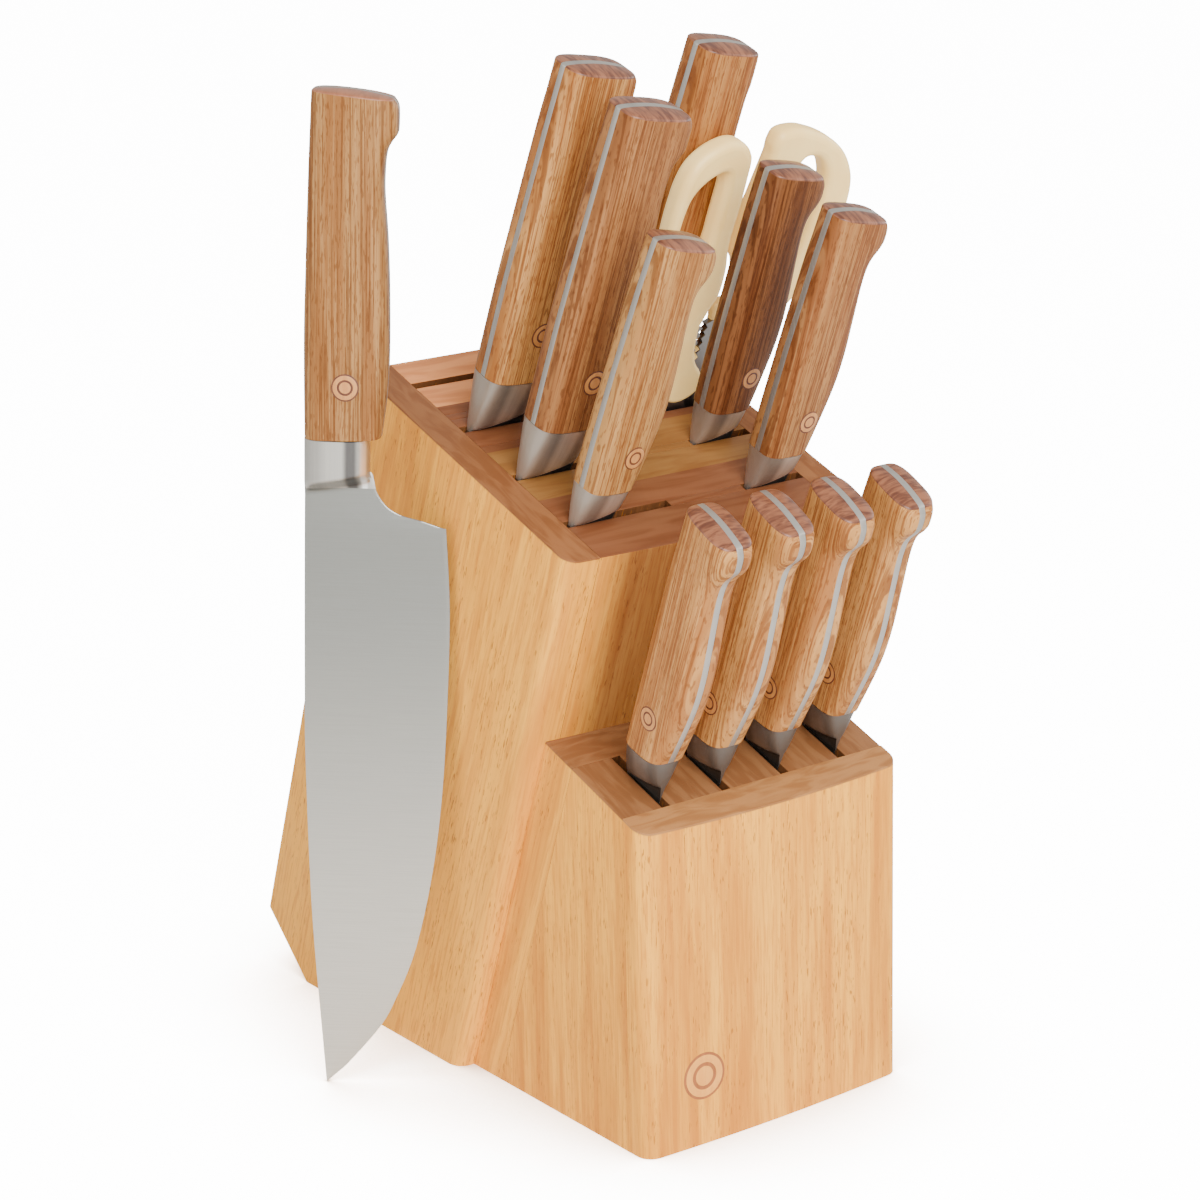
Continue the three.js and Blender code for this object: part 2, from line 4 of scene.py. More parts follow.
import math

import bmesh
import bpy
from mathutils import Matrix, Vector


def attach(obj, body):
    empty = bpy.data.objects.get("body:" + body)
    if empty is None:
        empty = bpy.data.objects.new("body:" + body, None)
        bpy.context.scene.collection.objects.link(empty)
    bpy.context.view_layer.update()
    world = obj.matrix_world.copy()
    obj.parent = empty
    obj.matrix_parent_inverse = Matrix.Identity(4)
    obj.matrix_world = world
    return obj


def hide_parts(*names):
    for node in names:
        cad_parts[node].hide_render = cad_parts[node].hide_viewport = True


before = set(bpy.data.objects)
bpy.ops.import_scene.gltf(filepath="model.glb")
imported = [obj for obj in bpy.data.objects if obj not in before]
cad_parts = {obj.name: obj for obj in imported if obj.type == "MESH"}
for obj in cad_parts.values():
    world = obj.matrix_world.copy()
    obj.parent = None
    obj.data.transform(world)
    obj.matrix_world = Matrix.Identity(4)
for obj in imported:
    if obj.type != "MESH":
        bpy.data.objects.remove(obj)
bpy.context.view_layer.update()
MM = 0.001

# Driving sizes, as in the CAD
LEAN = math.radians(20.4)
HALF_WIDTH = 60.0
CORE_HALF = 48.0
FRONT_FOOT_Y = 7.0
FRONT_LENGTH = 206.4
TOP_DEPTH = 122.2
BACK_LENGTH = 227.4
BACK_FOOT_Y = 104.5
MAIN_BOW = 1.5
LOW_HALF_WIDTH = 53.5
LOW_FRONT_Y = -90.0
LOW_TOP_T = -69.3
LOW_BOW = 2.0
EDGE_R = 5.0
REAR_R = 1.5
LOW_PANEL = 8.9
BACK_BOARD = 15.3
SLOT = 3.3
STEAK_SPINE_S = -23.0
# Air between touching pieces, and under the lowest edges
SEAM = 0.06
FOOT_GAP = 0.002
# Bevels of the outer edges and of the slots' edges
OUTER_SOFT = 0.7
SLOT_SOFT = 0.15
# How near a face's middle is to a plane when it counts as lying in it
NEAR = 0.1
STEAK_X = (-36.3, -12.1, 12.1, 36.3)
ROW = {"r4": 17.1, "r3": 45.9, "shears": 67.4, "r2": 76.5, "k4": 84.6, "r1": 105.5}

TOP_CORNER = Vector((0, FRONT_FOOT_Y - FRONT_LENGTH * math.sin(LEAN), FRONT_LENGTH * math.cos(LEAN)))
WORLD = Matrix.Identity(4)
X_DIR = Vector((1, 0, 0))
S_DIR = Vector((0, math.cos(LEAN), math.sin(LEAN)))
T_DIR = Vector((0, -math.sin(LEAN), math.cos(LEAN)))
BEVEL_S = (BACK_FOOT_Y - FRONT_FOOT_Y) * math.cos(LEAN)


def frame_matrix(origin, a, z):
    """Matrix of a piece's own frame: a and z are its first and third axes; origin in mm."""
    b = z.cross(a)
    rows = [[a[i], b[i], z[i], origin[i] * MM] for i in range(3)]
    return Matrix(rows + [[0, 0, 0, 1]])


def lean_point(x, s, t):
    return Vector((x, 0, 0)) + TOP_CORNER + S_DIR * s + T_DIR * t


def turned(vector, degrees):
    return Matrix.Rotation(math.radians(degrees), 3, S_DIR) @ vector


LEAN_FRAME = frame_matrix(TOP_CORNER, X_DIR, T_DIR)


def ground_t(s):
    """t at which a line parallel to the lean meets the ground."""
    return (FOOT_GAP - TOP_CORNER.z - s * math.sin(LEAN)) / math.cos(LEAN)


def foot_t(s):
    """t of the main block's underside, with the bevel at its rear."""
    if s <= BEVEL_S:
        return ground_t(s)
    u = (s - BEVEL_S) / (TOP_DEPTH - BEVEL_S)
    return ground_t(BEVEL_S) * (1 - u) - BACK_LENGTH * u


def face_line(x, half, bow, radius):
    """Retreat of a bowed face with rounded vertical edges."""
    sag = -bow * (1 - (x / half) ** 2)
    into = abs(x) - (half - radius)
    if into <= 0:
        return sag
    return sag + radius - math.sqrt(max(0.0, radius**2 - into**2))


def main_face(x):
    return face_line(x, HALF_WIDTH, MAIN_BOW, EDGE_R)


def low_face(x):
    return LOW_FRONT_Y + face_line(x, LOW_HALF_WIDTH, LOW_BOW, EDGE_R)


def low_top_z(y):
    """Height of the lower block's slanting top."""
    top = TOP_CORNER + T_DIR * LOW_TOP_T
    return top.z + (y - top.y) * math.tan(LEAN)


def spread(a, b, count):
    return [a + (b - a) * i / count for i in range(count + 1)]


def catmull(rows, steps):
    """Rows of numbers smoothed into steps points between each pair."""
    out = []
    last = len(rows) - 1
    for i in range(last):
        p0, p1, p2, p3 = rows[max(i - 1, 0)], rows[i], rows[i + 1], rows[min(i + 2, last)]
        for k in range(steps):
            t = k / steps
            out.append([
                0.5 * (2 * b + (c - a) * t + (2 * a - 5 * b + 4 * c - d) * t**2
                       + (3 * b - a - 3 * c + d) * t**3)
                for a, b, c, d in zip(p0, p1, p2, p3)
            ])
    out.append(list(rows[-1]))
    return out


# ---------------------------------------------------------------- meshes
def loft_faces(sections, first_index=0, cap_ends=True):
    """Vertices and faces of a skin through sections with equal numbers of points."""
    n = len(sections[0])
    verts = [tuple(p) for section in sections for p in section]
    faces = []
    for k in range(len(sections) - 1):
        for i in range(n):
            a = first_index + k * n + i
            b = first_index + k * n + (i + 1) % n
            faces.append((a, b, b + n, a + n))
    if cap_ends:
        last = first_index + (len(sections) - 1) * n
        faces.append(tuple(range(first_index + n - 1, first_index - 1, -1)))
        faces.append(tuple(range(last, last + n)))
    return verts, faces


def mesh_object(name, verts, faces, matrix, materials, sharp=35.0, soften=None, paint=None):
    """A smooth-shaded object whose mesh lies where the piece is; the attribute "local" keeps each
    point's place in the piece's own frame, in mm. soften(ends) gives an edge's bevel width or 0, and
    paint(center) a face's material number."""
    mesh = bpy.data.meshes.new(name)
    mesh.from_pydata([tuple(c * MM for c in v) for v in verts], [], faces)
    bm = bmesh.new()
    bm.from_mesh(mesh)
    bmesh.ops.recalc_face_normals(bm, faces=bm.faces)
    if soften:
        soften_edges(bm, soften)
    bm.to_mesh(mesh)
    bm.free()
    for material in materials:
        mesh.materials.append(material)
    if paint:
        for polygon in mesh.polygons:
            polygon.material_index = paint(polygon.center / MM)
    local = mesh.attributes.new("local", "FLOAT_VECTOR", "POINT")
    for vertex, value in zip(mesh.vertices, local.data):
        value.vector = vertex.co / MM
    mesh.transform(matrix)
    mesh.shade_smooth()
    mesh.set_sharp_from_angle(angle=math.radians(sharp))
    obj = bpy.data.objects.new(name, mesh)
    bpy.context.scene.collection.objects.link(obj)
    return obj


def soften_edges(bm, soften):
    widths = {}
    for edge in bm.edges:
        if len(edge.link_faces) == 2 and edge.calc_face_angle(0.0) > math.radians(28):
            width = soften([v.co / MM for v in edge.verts])
            if width > 0:
                widths.setdefault(width, []).append(edge)
    for width, edges in widths.items():
        alive = [e for e in edges if e.is_valid]
        bmesh.ops.bevel(bm, geom=alive, offset=width * MM, segments=3, profile=0.5, affect="EDGES",
                        clamp_overlap=True)


def finished(obj, body, slot, *nodes):
    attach(obj, body)
    if nodes:
        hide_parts(*nodes)
    return obj


# ---------------------------------------------------------------- materials
class Shade:
    """A short way to write a node material."""

    def __init__(self, name):
        self.material = bpy.data.materials.new(name)
        self.material.use_nodes = True
        self.tree = self.material.node_tree
        self.bsdf = self.tree.nodes["Principled BSDF"]
        self.coord = self.node("ShaderNodeAttribute", attribute_name="local").outputs["Vector"]

    def node(self, kind, **settings):
        node = self.tree.nodes.new(kind)
        for key, value in settings.items():
            setattr(node, key, value)
        return node

    def link(self, source, target):
        self.tree.links.new(source, target)

    def set(self, **values):
        for key, value in values.items():
            self.bsdf.inputs[key.replace("_", " ")].default_value = value

    def stretched(self, per_mm, offset=(0, 0, 0)):
        """The piece's own coordinates as cycles: per_mm is cycles per millimetre along each axis."""
        mapping = self.node("ShaderNodeMapping")
        mapping.inputs["Scale"].default_value = per_mm
        mapping.inputs["Location"].default_value = offset
        self.link(self.coord, mapping.inputs["Vector"])
        return mapping.outputs["Vector"]

    def noise(self, vector, detail=3.0, rough=0.5, distortion=0.0):
        node = self.node("ShaderNodeTexNoise")
        node.inputs["Scale"].default_value = 1.0
        node.inputs["Detail"].default_value = detail
        node.inputs["Roughness"].default_value = rough
        node.inputs["Distortion"].default_value = distortion
        self.link(vector, node.inputs["Vector"])
        return node.outputs["Fac"]

    def span(self, value, low, high, to_low=0.0, to_high=1.0):
        node = self.node("ShaderNodeMapRange", interpolation_type="SMOOTHSTEP")
        sockets = ("From Min", "From Max", "To Min", "To Max")
        for key, number in zip(sockets, (low, high, to_low, to_high)):
            node.inputs[key].default_value = number
        self.link(value, node.inputs["Value"])
        return node.outputs["Result"]

    def math(self, operation, a, b):
        node = self.node("ShaderNodeMath", operation=operation)
        for socket, value in zip(node.inputs, (a, b)):
            if isinstance(value, (int, float)):
                socket.default_value = value
            else:
                self.link(value, socket)
        return node.outputs["Value"]

    def mix(self, factor, a, b, blend="MIX"):
        node = self.node("ShaderNodeMix", data_type="RGBA", blend_type=blend)
        for socket, value in ((node.inputs[0], factor), (node.inputs[6], a), (node.inputs[7], b)):
            if isinstance(value, (int, float)):
                socket.default_value = value
            elif isinstance(value, tuple):
                socket.default_value = (*value, 1.0)
            else:
                self.link(value, socket)
        return node.outputs[2]

    def bump(self, height, strength, distance_mm):
        node = self.node("ShaderNodeBump")
        node.inputs["Strength"].default_value = strength
        node.inputs["Distance"].default_value = distance_mm * MM
        self.link(height, node.inputs["Height"])
        self.link(node.outputs["Normal"], self.bsdf.inputs["Normal"])

    def color(self, value):
        self.link(value, self.bsdf.inputs["Base Color"])

    def part(self, vector, axis):
        node = self.node("ShaderNodeSeparateXYZ")
        self.link(vector, node.inputs[0])
        return node.outputs[axis]


def times(color, factors):
    return tuple(c * k for c, k in zip(color, factors))


WOOD_SPEC = {"IOR": 1.45, "Specular_IOR_Level": 0.22, "Specular_Tint": (1.0, 0.8, 0.6, 1.0)}
PANEL_TONES = ((0.93, 0.42, 0.045), (0.62, 0.222, 0.022))
# Painted shade: dark wood for the slots' walls and for faces hidden between pieces.
SLOT_SHADE_TONES = ((0.13, 0.048, 0.016), (0.091, 0.0336, 0.0112))
PORE = (0.32, 0.10, 0.011)


def panel_wood(name, seed, cut=None, shade=None, painted_light=None, tones=PANEL_TONES):
    """Pale open-pored hardwood with its grain along the piece's own Z. cut is (normal, place, colour,
    cycles per mm of its rings) of the end grain: the part up to normal . point = place. shade is a
    painted shade (x where the wood starts to deepen, x where it ends, how much); fade is painted
    light (z where the wood is palest, z from which its tone is full)."""
    light, dark = tones
    m = Shade(name)
    offset = (seed * 3.7, seed * 5.3, seed * 1.9)
    broad = m.noise(m.stretched((1 / 10, 1 / 10, 1 / 130), offset), 2.0, 0.5, 0.6)
    streak = m.noise(m.stretched((1 / 2.2, 1 / 2.2, 1 / 50), offset), 3.0, 0.6, 0.4)
    fine = m.noise(m.stretched((1 / 0.8, 1 / 0.8, 1 / 16), offset), 2.0, 0.55)
    pores = m.noise(m.stretched((1 / 0.55, 1 / 0.55, 1 / 4.0), offset), 1.0, 0.5)
    patches = m.noise(m.stretched((1 / 6, 1 / 6, 1 / 40), offset), 2.0, 0.5)
    tone = m.math("ADD", m.math("MULTIPLY", m.span(broad, 0.38, 0.62), 0.6),
                  m.math("MULTIPLY", m.span(streak, 0.38, 0.64), 0.4))
    # Painted light: the wood paler towards the bottom.
    if painted_light:
        tone = m.math("MULTIPLY", tone, m.span(m.part(m.coord, 2), *painted_light, 0.1, 1.0))
    base = m.mix(tone, light, dark)
    base = m.mix(m.span(fine, 0.48, 0.64, 0.0, 0.6), base, dark)
    line = m.math("MULTIPLY", m.span(pores, 0.62, 0.69), m.span(patches, 0.38, 0.62, 0.1, 1.0))
    base = m.mix(m.math("MULTIPLY", line, 0.75), base, PORE)
    # Painted shade: the wood darker beyond a given x.
    if shade:
        painted_shade = m.span(m.part(m.coord, 0), shade[0], shade[1])
        base = m.mix(painted_shade, base, m.mix(1.0, base, shade[2], "MULTIPLY"))
    if cut:
        normal, place, end_color, rows = cut
        dot = m.node("ShaderNodeVectorMath", operation="DOT_PRODUCT")
        m.link(m.coord, dot.inputs[0])
        dot.inputs[1].default_value = normal
        ends = m.span(dot.outputs["Value"], place - 0.9, place - 0.35)
        rings = m.noise(m.stretched(rows, offset), 2.0, 0.5, 1.4)
        dots = m.noise(m.stretched((1 / 0.7, 1 / 0.7, 1 / 3), offset), 2.0, 0.6)
        deep = times(end_color, (0.76, 0.69, 0.64))
        end_grain = m.mix(m.span(rings, 0.38, 0.62), end_color, deep)
        end_grain = m.mix(m.span(dots, 0.55, 0.75, 0.0, 0.25), end_grain, deep)
        base = m.mix(ends, base, end_grain)
    m.color(base)
    m.set(Roughness=0.5, **WOOD_SPEC)
    m.bump(m.math("SUBTRACT", 1.0, line), 0.3, 0.08)
    return m.material


def core_wood(name, bands, seed):
    """The laminated core: bands of colour from front to back, each (s where it ends, colour)."""
    m = Shade(name)
    offset = (seed, seed * 2.1, seed * 0.7)
    s_value = m.part(m.coord, 1)
    wave = m.noise(m.stretched((1 / 45, 1 / 6, 1 / 60), offset), 2.0, 0.5, 1.6)
    fine = m.noise(m.stretched((1 / 9, 1 / 0.8, 1 / 16), offset), 2.0, 0.6)
    start, color = None, None
    for end, shade in bands:
        dark = times(shade, (0.76, 0.67, 0.6))
        here = m.mix(m.span(wave, 0.36, 0.68), shade, dark)
        here = m.mix(m.span(fine, 0.5, 0.75, 0.0, 0.25), here, dark)
        if color is None:
            color = here
        else:
            color = m.mix(m.span(s_value, start - 0.05, start + 0.05), color, here)
        start = end
    m.color(color)
    m.set(Roughness=0.48, **WOOD_SPEC)
    m.bump(fine, 0.1, 0.05)
    return m.material


def handle_wood(name, light, dark, seed):
    """Handle wood in thin upright sheets stacked from spine to edge: fine lines on the flat sides,
    contour figures on the spine and the belly."""
    m = Shade(name)
    offset = (seed * 7.1, seed * 2.9, seed * 4.3)
    lines = m.noise(m.stretched((1 / 0.52, 1 / 9, 1 / 45), offset), 2.0, 0.6, 0.1)
    pale_lines = m.noise(m.stretched((1 / 0.8, 1 / 11, 1 / 50), offset), 2.0, 0.5, 0.1)
    bands = m.noise(m.stretched((1 / 4.2, 1 / 14, 1 / 130), offset), 2.0, 0.5, 0.4)
    dashes = m.noise(m.stretched((1 / 0.45, 1 / 1.2, 1 / 3.6), offset), 1.0, 0.5)
    pale = times(light, (1.22, 1.3, 1.45))
    deep = times(dark, (0.5, 0.38, 0.3))
    color = m.mix(m.span(bands, 0.38, 0.62), light, dark)
    color = m.mix(m.span(pale_lines, 0.5, 0.64, 0.0, 0.55), color, pale)
    color = m.mix(m.span(lines, 0.5, 0.6, 0.0, 0.7), color, deep)
    line = m.span(dashes, 0.56, 0.66)
    color = m.mix(m.math("MULTIPLY", line, 0.6), color, deep)
    m.color(color)
    m.set(Roughness=0.45, **WOOD_SPEC)
    m.bump(m.math("SUBTRACT", m.span(lines, 0.585, 0.5), line), 0.2, 0.06)
    return m.material


def smooth_wood(name, light, dark, seed, rough=0.34):
    """Polished end grain: soft curved rings and fine dots. Also the wood of the round marks."""
    m = Shade(name)
    offset = (seed, seed, seed)
    rings = m.noise(m.stretched((1 / 1.4, 1 / 7, 1 / 9), offset), 2.0, 0.5, 0.7)
    fine = m.noise(m.stretched((1 / 0.6, 1 / 2.5, 1 / 3), offset), 2.0, 0.5)
    color = m.mix(m.span(rings, 0.35, 0.68), light, dark)
    m.color(m.mix(m.span(fine, 0.5, 0.75, 0.0, 0.35), color, dark))
    m.set(Roughness=rough, Specular_IOR_Level=0.45)
    m.bump(rings, 0.06, 0.05)
    return m.material


BRUSHED_UP = (1 / 0.4, 0, 1 / 40)
STEEL_LINE = (0.2, 0.19, 0.18)


def steel(name, high, low, rough, brush=BRUSHED_UP, metallic=0.8, span=None, stripes=()):
    """Brushed steel: brush gives the cycles per millimetre of the polishing lines. Without span, soft
    bands of low and high colour run along the piece's own Z, painted reflections. With span, the
    colour runs from low to high between the two heights of the piece's own Z, a painted reflection.
    Stripes are (a, half width, colour) of soft bands from spine to edge, painted reflections."""
    m = Shade(name)
    lines = m.noise(m.stretched(brush), 3.0, 0.6)
    # Soft light and dark bands that run along the piece's own Z: painted reflections.
    cloud = m.noise(m.stretched((1 / 6.5, 0, 1 / 200)), 0.0, 0.5)
    mixer = m.span(m.part(m.coord, 2), *span) if span else m.span(cloud, 0.38, 0.62)
    tone = m.mix(mixer, low, high)
    for place, half, shade in stripes:
        near = m.math("ABSOLUTE", m.math("SUBTRACT", m.part(m.coord, 0), place), 0.0)
        tone = m.mix(m.span(near, half, half * 0.3), tone, shade)
    m.color(m.mix(m.span(lines, 0.3, 0.7, 0.0, 0.1), tone, STEEL_LINE))
    m.set(Metallic=metallic)
    m.link(m.span(lines, 0.3, 0.7, rough - 0.04, rough + 0.04), m.bsdf.inputs["Roughness"])
    return m.material


CREAM = ((0.92, 0.64, 0.23), (0.88, 0.58, 0.19))


def cream_plastic(name):
    """Matt cream plastic with a faint glow of its own: painted light."""
    m = Shade(name)
    cloud = m.noise(m.stretched((1 / 12, 1 / 12, 1 / 12)), 2.0, 0.5)
    grain = m.noise(m.stretched((1 / 0.35, 1 / 0.35, 1 / 0.35)), 2.0, 0.5)
    m.color(m.mix(m.span(cloud, 0.3, 0.7), *CREAM))
    # The emission is painted light that brightens the plastic.
    m.set(Roughness=0.4, Emission_Color=(0.92, 0.64, 0.22, 1.0), Emission_Strength=0.28)
    m.bump(grain, 0.05, 0.02)
    return m.material


# ---------------------------------------------------------------- the block
TOP_WOOD = (0.25, 0.098, 0.035)
STRIP_TOP = (0.37, 0.168, 0.056)
SLAT_TOP = (0.245, 0.106, 0.040)
# Painted shade on the core's front face: darker from near its left edge to the right.
FACE_PAINTED_SHADE = (-51.0, -32.0, (0.38, 0.35, 0.8))
# Painted light: the side panels paler towards the bottom.
PANEL_PAINTED_LIGHT = (-190.0, -40.0)
# Cycles per mm of the end grain's rings, across and along a board
RINGS_ACROSS = (1 / 5, 1 / 26, 1 / 26)
RINGS_ALONG = (1 / 26, 1 / 5, 1 / 26)
BANDS = (
    # s where each lamination ends, and its colour
    (33.4, (0.20, 0.073, 0.030)),
    (63.2, (0.27, 0.122, 0.034)),
    (93.0, (0.19, 0.067, 0.027)),
    (122.2, (0.66, 0.255, 0.088)),
)


def board_section(x, s0, s1):
    line = [(x, s0, 0), (x, s0, foot_t(s0))]
    if s0 < BEVEL_S < s1:
        line.append((x, BEVEL_S, ground_t(BEVEL_S)))
    return line + [(x, s1, foot_t(s1)), (x, s1, 0)]


def arc_stations(inner, outer, radius, steps=7):
    sign = math.copysign(1, outer)
    start = abs(outer) - radius
    arc = [sign * (start + radius * math.sin(a)) for a in spread(0, math.pi / 2, steps)]
    return [inner] + arc


def make_panels(material, inside):
    for name, sign in (("left_side_panel", -1), ("right_side_panel", 1)):
        sections = []
        for x in arc_stations(sign * (CORE_HALF + SEAM), sign * HALF_WIDTH, EDGE_R):
            into = max(0.0, abs(x) - (HALF_WIDTH - REAR_R))
            rear = TOP_DEPTH - REAR_R + math.sqrt(REAR_R**2 - into**2)
            sections.append(board_section(x, main_face(x), rear))

        def soften(ends):
            inner = all(abs(abs(v.x) - CORE_HALF) < 2 * NEAR for v in ends)
            return 0.0 if inner else OUTER_SOFT

        def paint(center):
            return 1 if abs(center.x) < CORE_HALF + NEAR else 0

        verts, faces = loft_faces(sections)
        obj = mesh_object(name + "_wood", verts, faces, LEAN_FRAME, [material, inside],
                          soften=soften, paint=paint)
        finished(obj, "block", "panel_wood", name)


def make_core_board(name, x0, x1, s0, s1, materials, steps=1):
    """s0 may be a function of x, for the bowed front. The materials are for the top, the slot walls,
    in dark wood as painted shade, and the outer faces."""
    def start(x):
        return s0(x) if callable(s0) else s0

    sections = [board_section(x, start(x), s1) for x in spread(x0, x1, steps)]

    def soften(ends):
        outer_front = callable(s0) and all(v.y < 1.0 for v in ends)
        outer_rear = all(v.y > TOP_DEPTH - NEAR for v in ends)
        crosswise = abs(ends[0].x - ends[1].x) > 1.0
        if crosswise and (outer_front or outer_rear):
            return OUTER_SOFT
        return SLOT_SOFT if crosswise and all(abs(v.z) < NEAR for v in ends) else 0.0

    def paint(center):
        if center.z > -0.35:
            return 0
        if callable(s0):
            outside = center.y < start(center.x) + 0.8
        else:
            outside = center.y > TOP_DEPTH - NEAR
        return 2 if outside or center.z < foot_t(center.y) + 1.0 else 1

    verts, faces = loft_faces(sections)
    obj = mesh_object(name + "_wood", verts, faces, LEAN_FRAME, materials, soften=soften, paint=paint)
    finished(obj, "block", "core_wood", name)


def make_core(material, inside, face, rear):
    half = CORE_HALF - SEAM
    full = SLOT - SEAM
    rows = (
        ("core_board_2", -half, half, ROW["r4"] + SLOT, ROW["r3"] - SEAM),
        ("core_board_3", -half, half, ROW["r3"] + SLOT, ROW["shears"] - 0.3),
        ("core_board_4", -half, half, ROW["r2"] + SLOT, ROW["k4"] - SEAM),
        ("core_board_5", -half, half, ROW["k4"] + SLOT, ROW["r1"] - SEAM),
        ("core_board_rear", -half, half, ROW["r1"] + SLOT, TOP_DEPTH),
        ("slot_spacer_row_4", -7, 23.4, ROW["r4"], ROW["r4"] + full),
        ("slot_spacer_row_3", -7, 23.4, ROW["r3"], ROW["r3"] + full),
        ("shears_slot_board", -half, 8, ROW["shears"] - 0.2, ROW["r2"] - SEAM),
        ("slot_spacer_row_2", -7, half, ROW["r2"], ROW["r2"] + full),
        ("slot_spacer_carving", -half, 13.4, ROW["k4"], ROW["k4"] + full),
        ("slot_spacer_chef", 2, half, ROW["r1"], ROW["r1"] + full),
    )
    front_end = ROW["r4"] - SEAM
    make_core_board("core_board_front", -half, half, main_face, front_end, [material, inside, face], 12)
    for name, x0, x1, s0, s1 in rows:
        make_core_board(name, x0, x1, s0, s1, [material, inside, rear])


def make_lower_front(panel, inside):
    inner = LOW_FRONT_Y + LOW_PANEL
    right = [0.0] + spread(12, 36, 2) + arc_stations(44, LOW_HALF_WIDTH, EDGE_R)
    xs = [-x for x in reversed(right[1:])] + right
    sections = []
    for x in xs:
        y = low_face(x)
        sections.append([(x, y, 0), (x, y, low_top_z(y)), (x, inner, low_top_z(inner)), (x, inner, 0)])
    verts, faces = loft_faces(sections)

    def soften(ends):
        return 0.0 if all(abs(v.y - inner) < NEAR for v in ends) else OUTER_SOFT

    def paint(center):
        return 1 if abs(center.y - inner) < NEAR else 0

    obj = mesh_object("lower_front_panel_wood", verts, faces, WORLD, [panel, inside],
                      soften=soften, paint=paint)
    finished(obj, "block", "panel_wood", "lower_front_panel")


def make_back_board(back, inside):
    sections = []
    for x in spread(-LOW_HALF_WIDTH, LOW_HALF_WIDTH, 10):
        rear = -MAIN_BOW * (1 - (x / HALF_WIDTH) ** 2) - SEAM
        front = -BACK_BOARD
        sections.append([(x, rear, LOW_TOP_T), (x, rear, ground_t(rear)),
                         (x, front, ground_t(front)), (x, front, LOW_TOP_T)])
    verts, faces = loft_faces(sections)

    def soften(ends):
        side = all(abs(abs(v.x) - LOW_HALF_WIDTH) < NEAR for v in ends)
        return 0.5 if side and all(abs(v.z - LOW_TOP_T) < NEAR for v in ends) else 0.0

    def paint(center):
        return 1 if abs(center.y + BACK_BOARD) < NEAR else 0

    obj = mesh_object("lower_back_board_wood", verts, faces, LEAN_FRAME, [back, inside],
                      soften=soften, paint=paint)
    finished(obj, "block", "panel_wood", "lower_back_board")


def make_slats(slats, inside):
    side = STEAK_X[3] + SLOT / 2
    spans = [
        ("lower_side_board_left", -LOW_HALF_WIDTH, -side),
        ("lower_side_board_right", side, LOW_HALF_WIDTH),
    ]
    for i in range(3):
        spans.append((f"lower_slat_{i + 1}", STEAK_X[i] + SLOT / 2, STEAK_X[i + 1] - SLOT / 2))
    for name, x0, x1 in spans:
        make_slat(name, x0, x1, [slats, inside])


def make_slat(name, x0, x1, materials):
    front = LOW_FRONT_Y + LOW_PANEL + SEAM
    rear_top = lean_point(0, -BACK_BOARD - SEAM, LOW_TOP_T)
    rear_foot = lean_point(0, -BACK_BOARD - SEAM, ground_t(-BACK_BOARD - SEAM))
    profile = [(front, 0), (front, low_top_z(front)), (rear_top.y, rear_top.z), (rear_foot.y, 0)]
    sections = [[(x, y, z) for y, z in profile] for x in (x0, x1)]
    verts, faces = loft_faces(sections)

    def soften(ends):
        along_top = all(v.z > 100 for v in ends) and abs(ends[0].x - ends[1].x) < NEAR
        if not along_top:
            return 0.0
        return OUTER_SOFT if abs(abs(ends[0].x) - LOW_HALF_WIDTH) < NEAR else 0.2

    def paint(center):
        at_side = min(abs(center.x - x0), abs(center.x - x1)) < 0.01
        return 1 if at_side and abs(center.x) < LOW_HALF_WIDTH - 1 else 0

    obj = mesh_object(name + "_wood", verts, faces, WORLD, materials, soften=soften, paint=paint)
    finished(obj, "block", "panel_wood", name)


# ---------------------------------------------------------------- knives
# Own frame: a from spine to edge, b through the thickness, z from the bolster's lower spine
# corner up to the butt. A handle station is (spine a, spine z, edge a, edge z). "line" is how far
# the bolster's lower line rises to the edge, "mark" the (a, z, radius) of the round mark, and
# "shadow" the share of the rise that lies in shadow.
LARGE = {
    "length": 131.2, "thick": 17.0, "neck": 20.7, "line": 4.6, "mark": (13.8, 37.4, 4.4),
    "stations": (
        (0.2, 19.8, 24.5, 20.4), (0.1, 29, 25.6, 29), (0, 38.6, 26.4, 36.6), (0, 55.6, 26.8, 50),
        (0.4, 71.6, 26.6, 68.6), (0.8, 87.6, 26.0, 84), (1.2, 100, 25.0, 97), (1.4, 107, 25.0, 104.5),
        (1.6, 112, 25.6, 110.4), (1.7, 115, 27.0, 113.6), (1.8, 117.6, 28.8, 116.2),
        (1.9, 120, 29.2, 118.4), (2.1, 125.6, 29.25, 123.4), (2.2, 127.8, 28.9, 125.6),
        (2.3, 129.4, 28.0, 127.0),
    ),
}
SMALL = {
    "length": 102.0, "thick": 14.5, "neck": 16.6, "line": 4.2, "mark": (12.3, 26.4, 4.0),
    "stations": (
        (0, 13.7, 17.2, 14.2), (-0.1, 28, 20.2, 28), (0, 40, 22, 39), (0.2, 52, 22.4, 50),
        (0.6, 64, 21.6, 63), (1.0, 75, 20.8, 75), (1.3, 83, 21.0, 81.5), (1.5, 86.8, 22.1, 85.2),
        (1.7, 89.8, 24.0, 88.0), (1.8, 92.4, 25.1, 90.4), (2.0, 95.6, 25.3, 93.2),
        (2.2, 98.2, 24.96, 95.6), (2.4, 100.4, 23.9, 97.4),
    ),
}
STEAK = {**SMALL, "mark": (10.2, 28.1, 4.0), "shadow": 0.5}
CHEF = {**LARGE, "fillet": {"low": 0.5, "rise": 3.4, "height": 5.6}}


FLARE_START = 105
FLARE_EDGE = 25
FLARE_LEFT = 0.2


def plain_butt(a1, z0):
    """Edge of a handle whose butt hardly flares."""
    return FLARE_EDGE + (a1 - FLARE_EDGE) * FLARE_LEFT if z0 > FLARE_START else a1


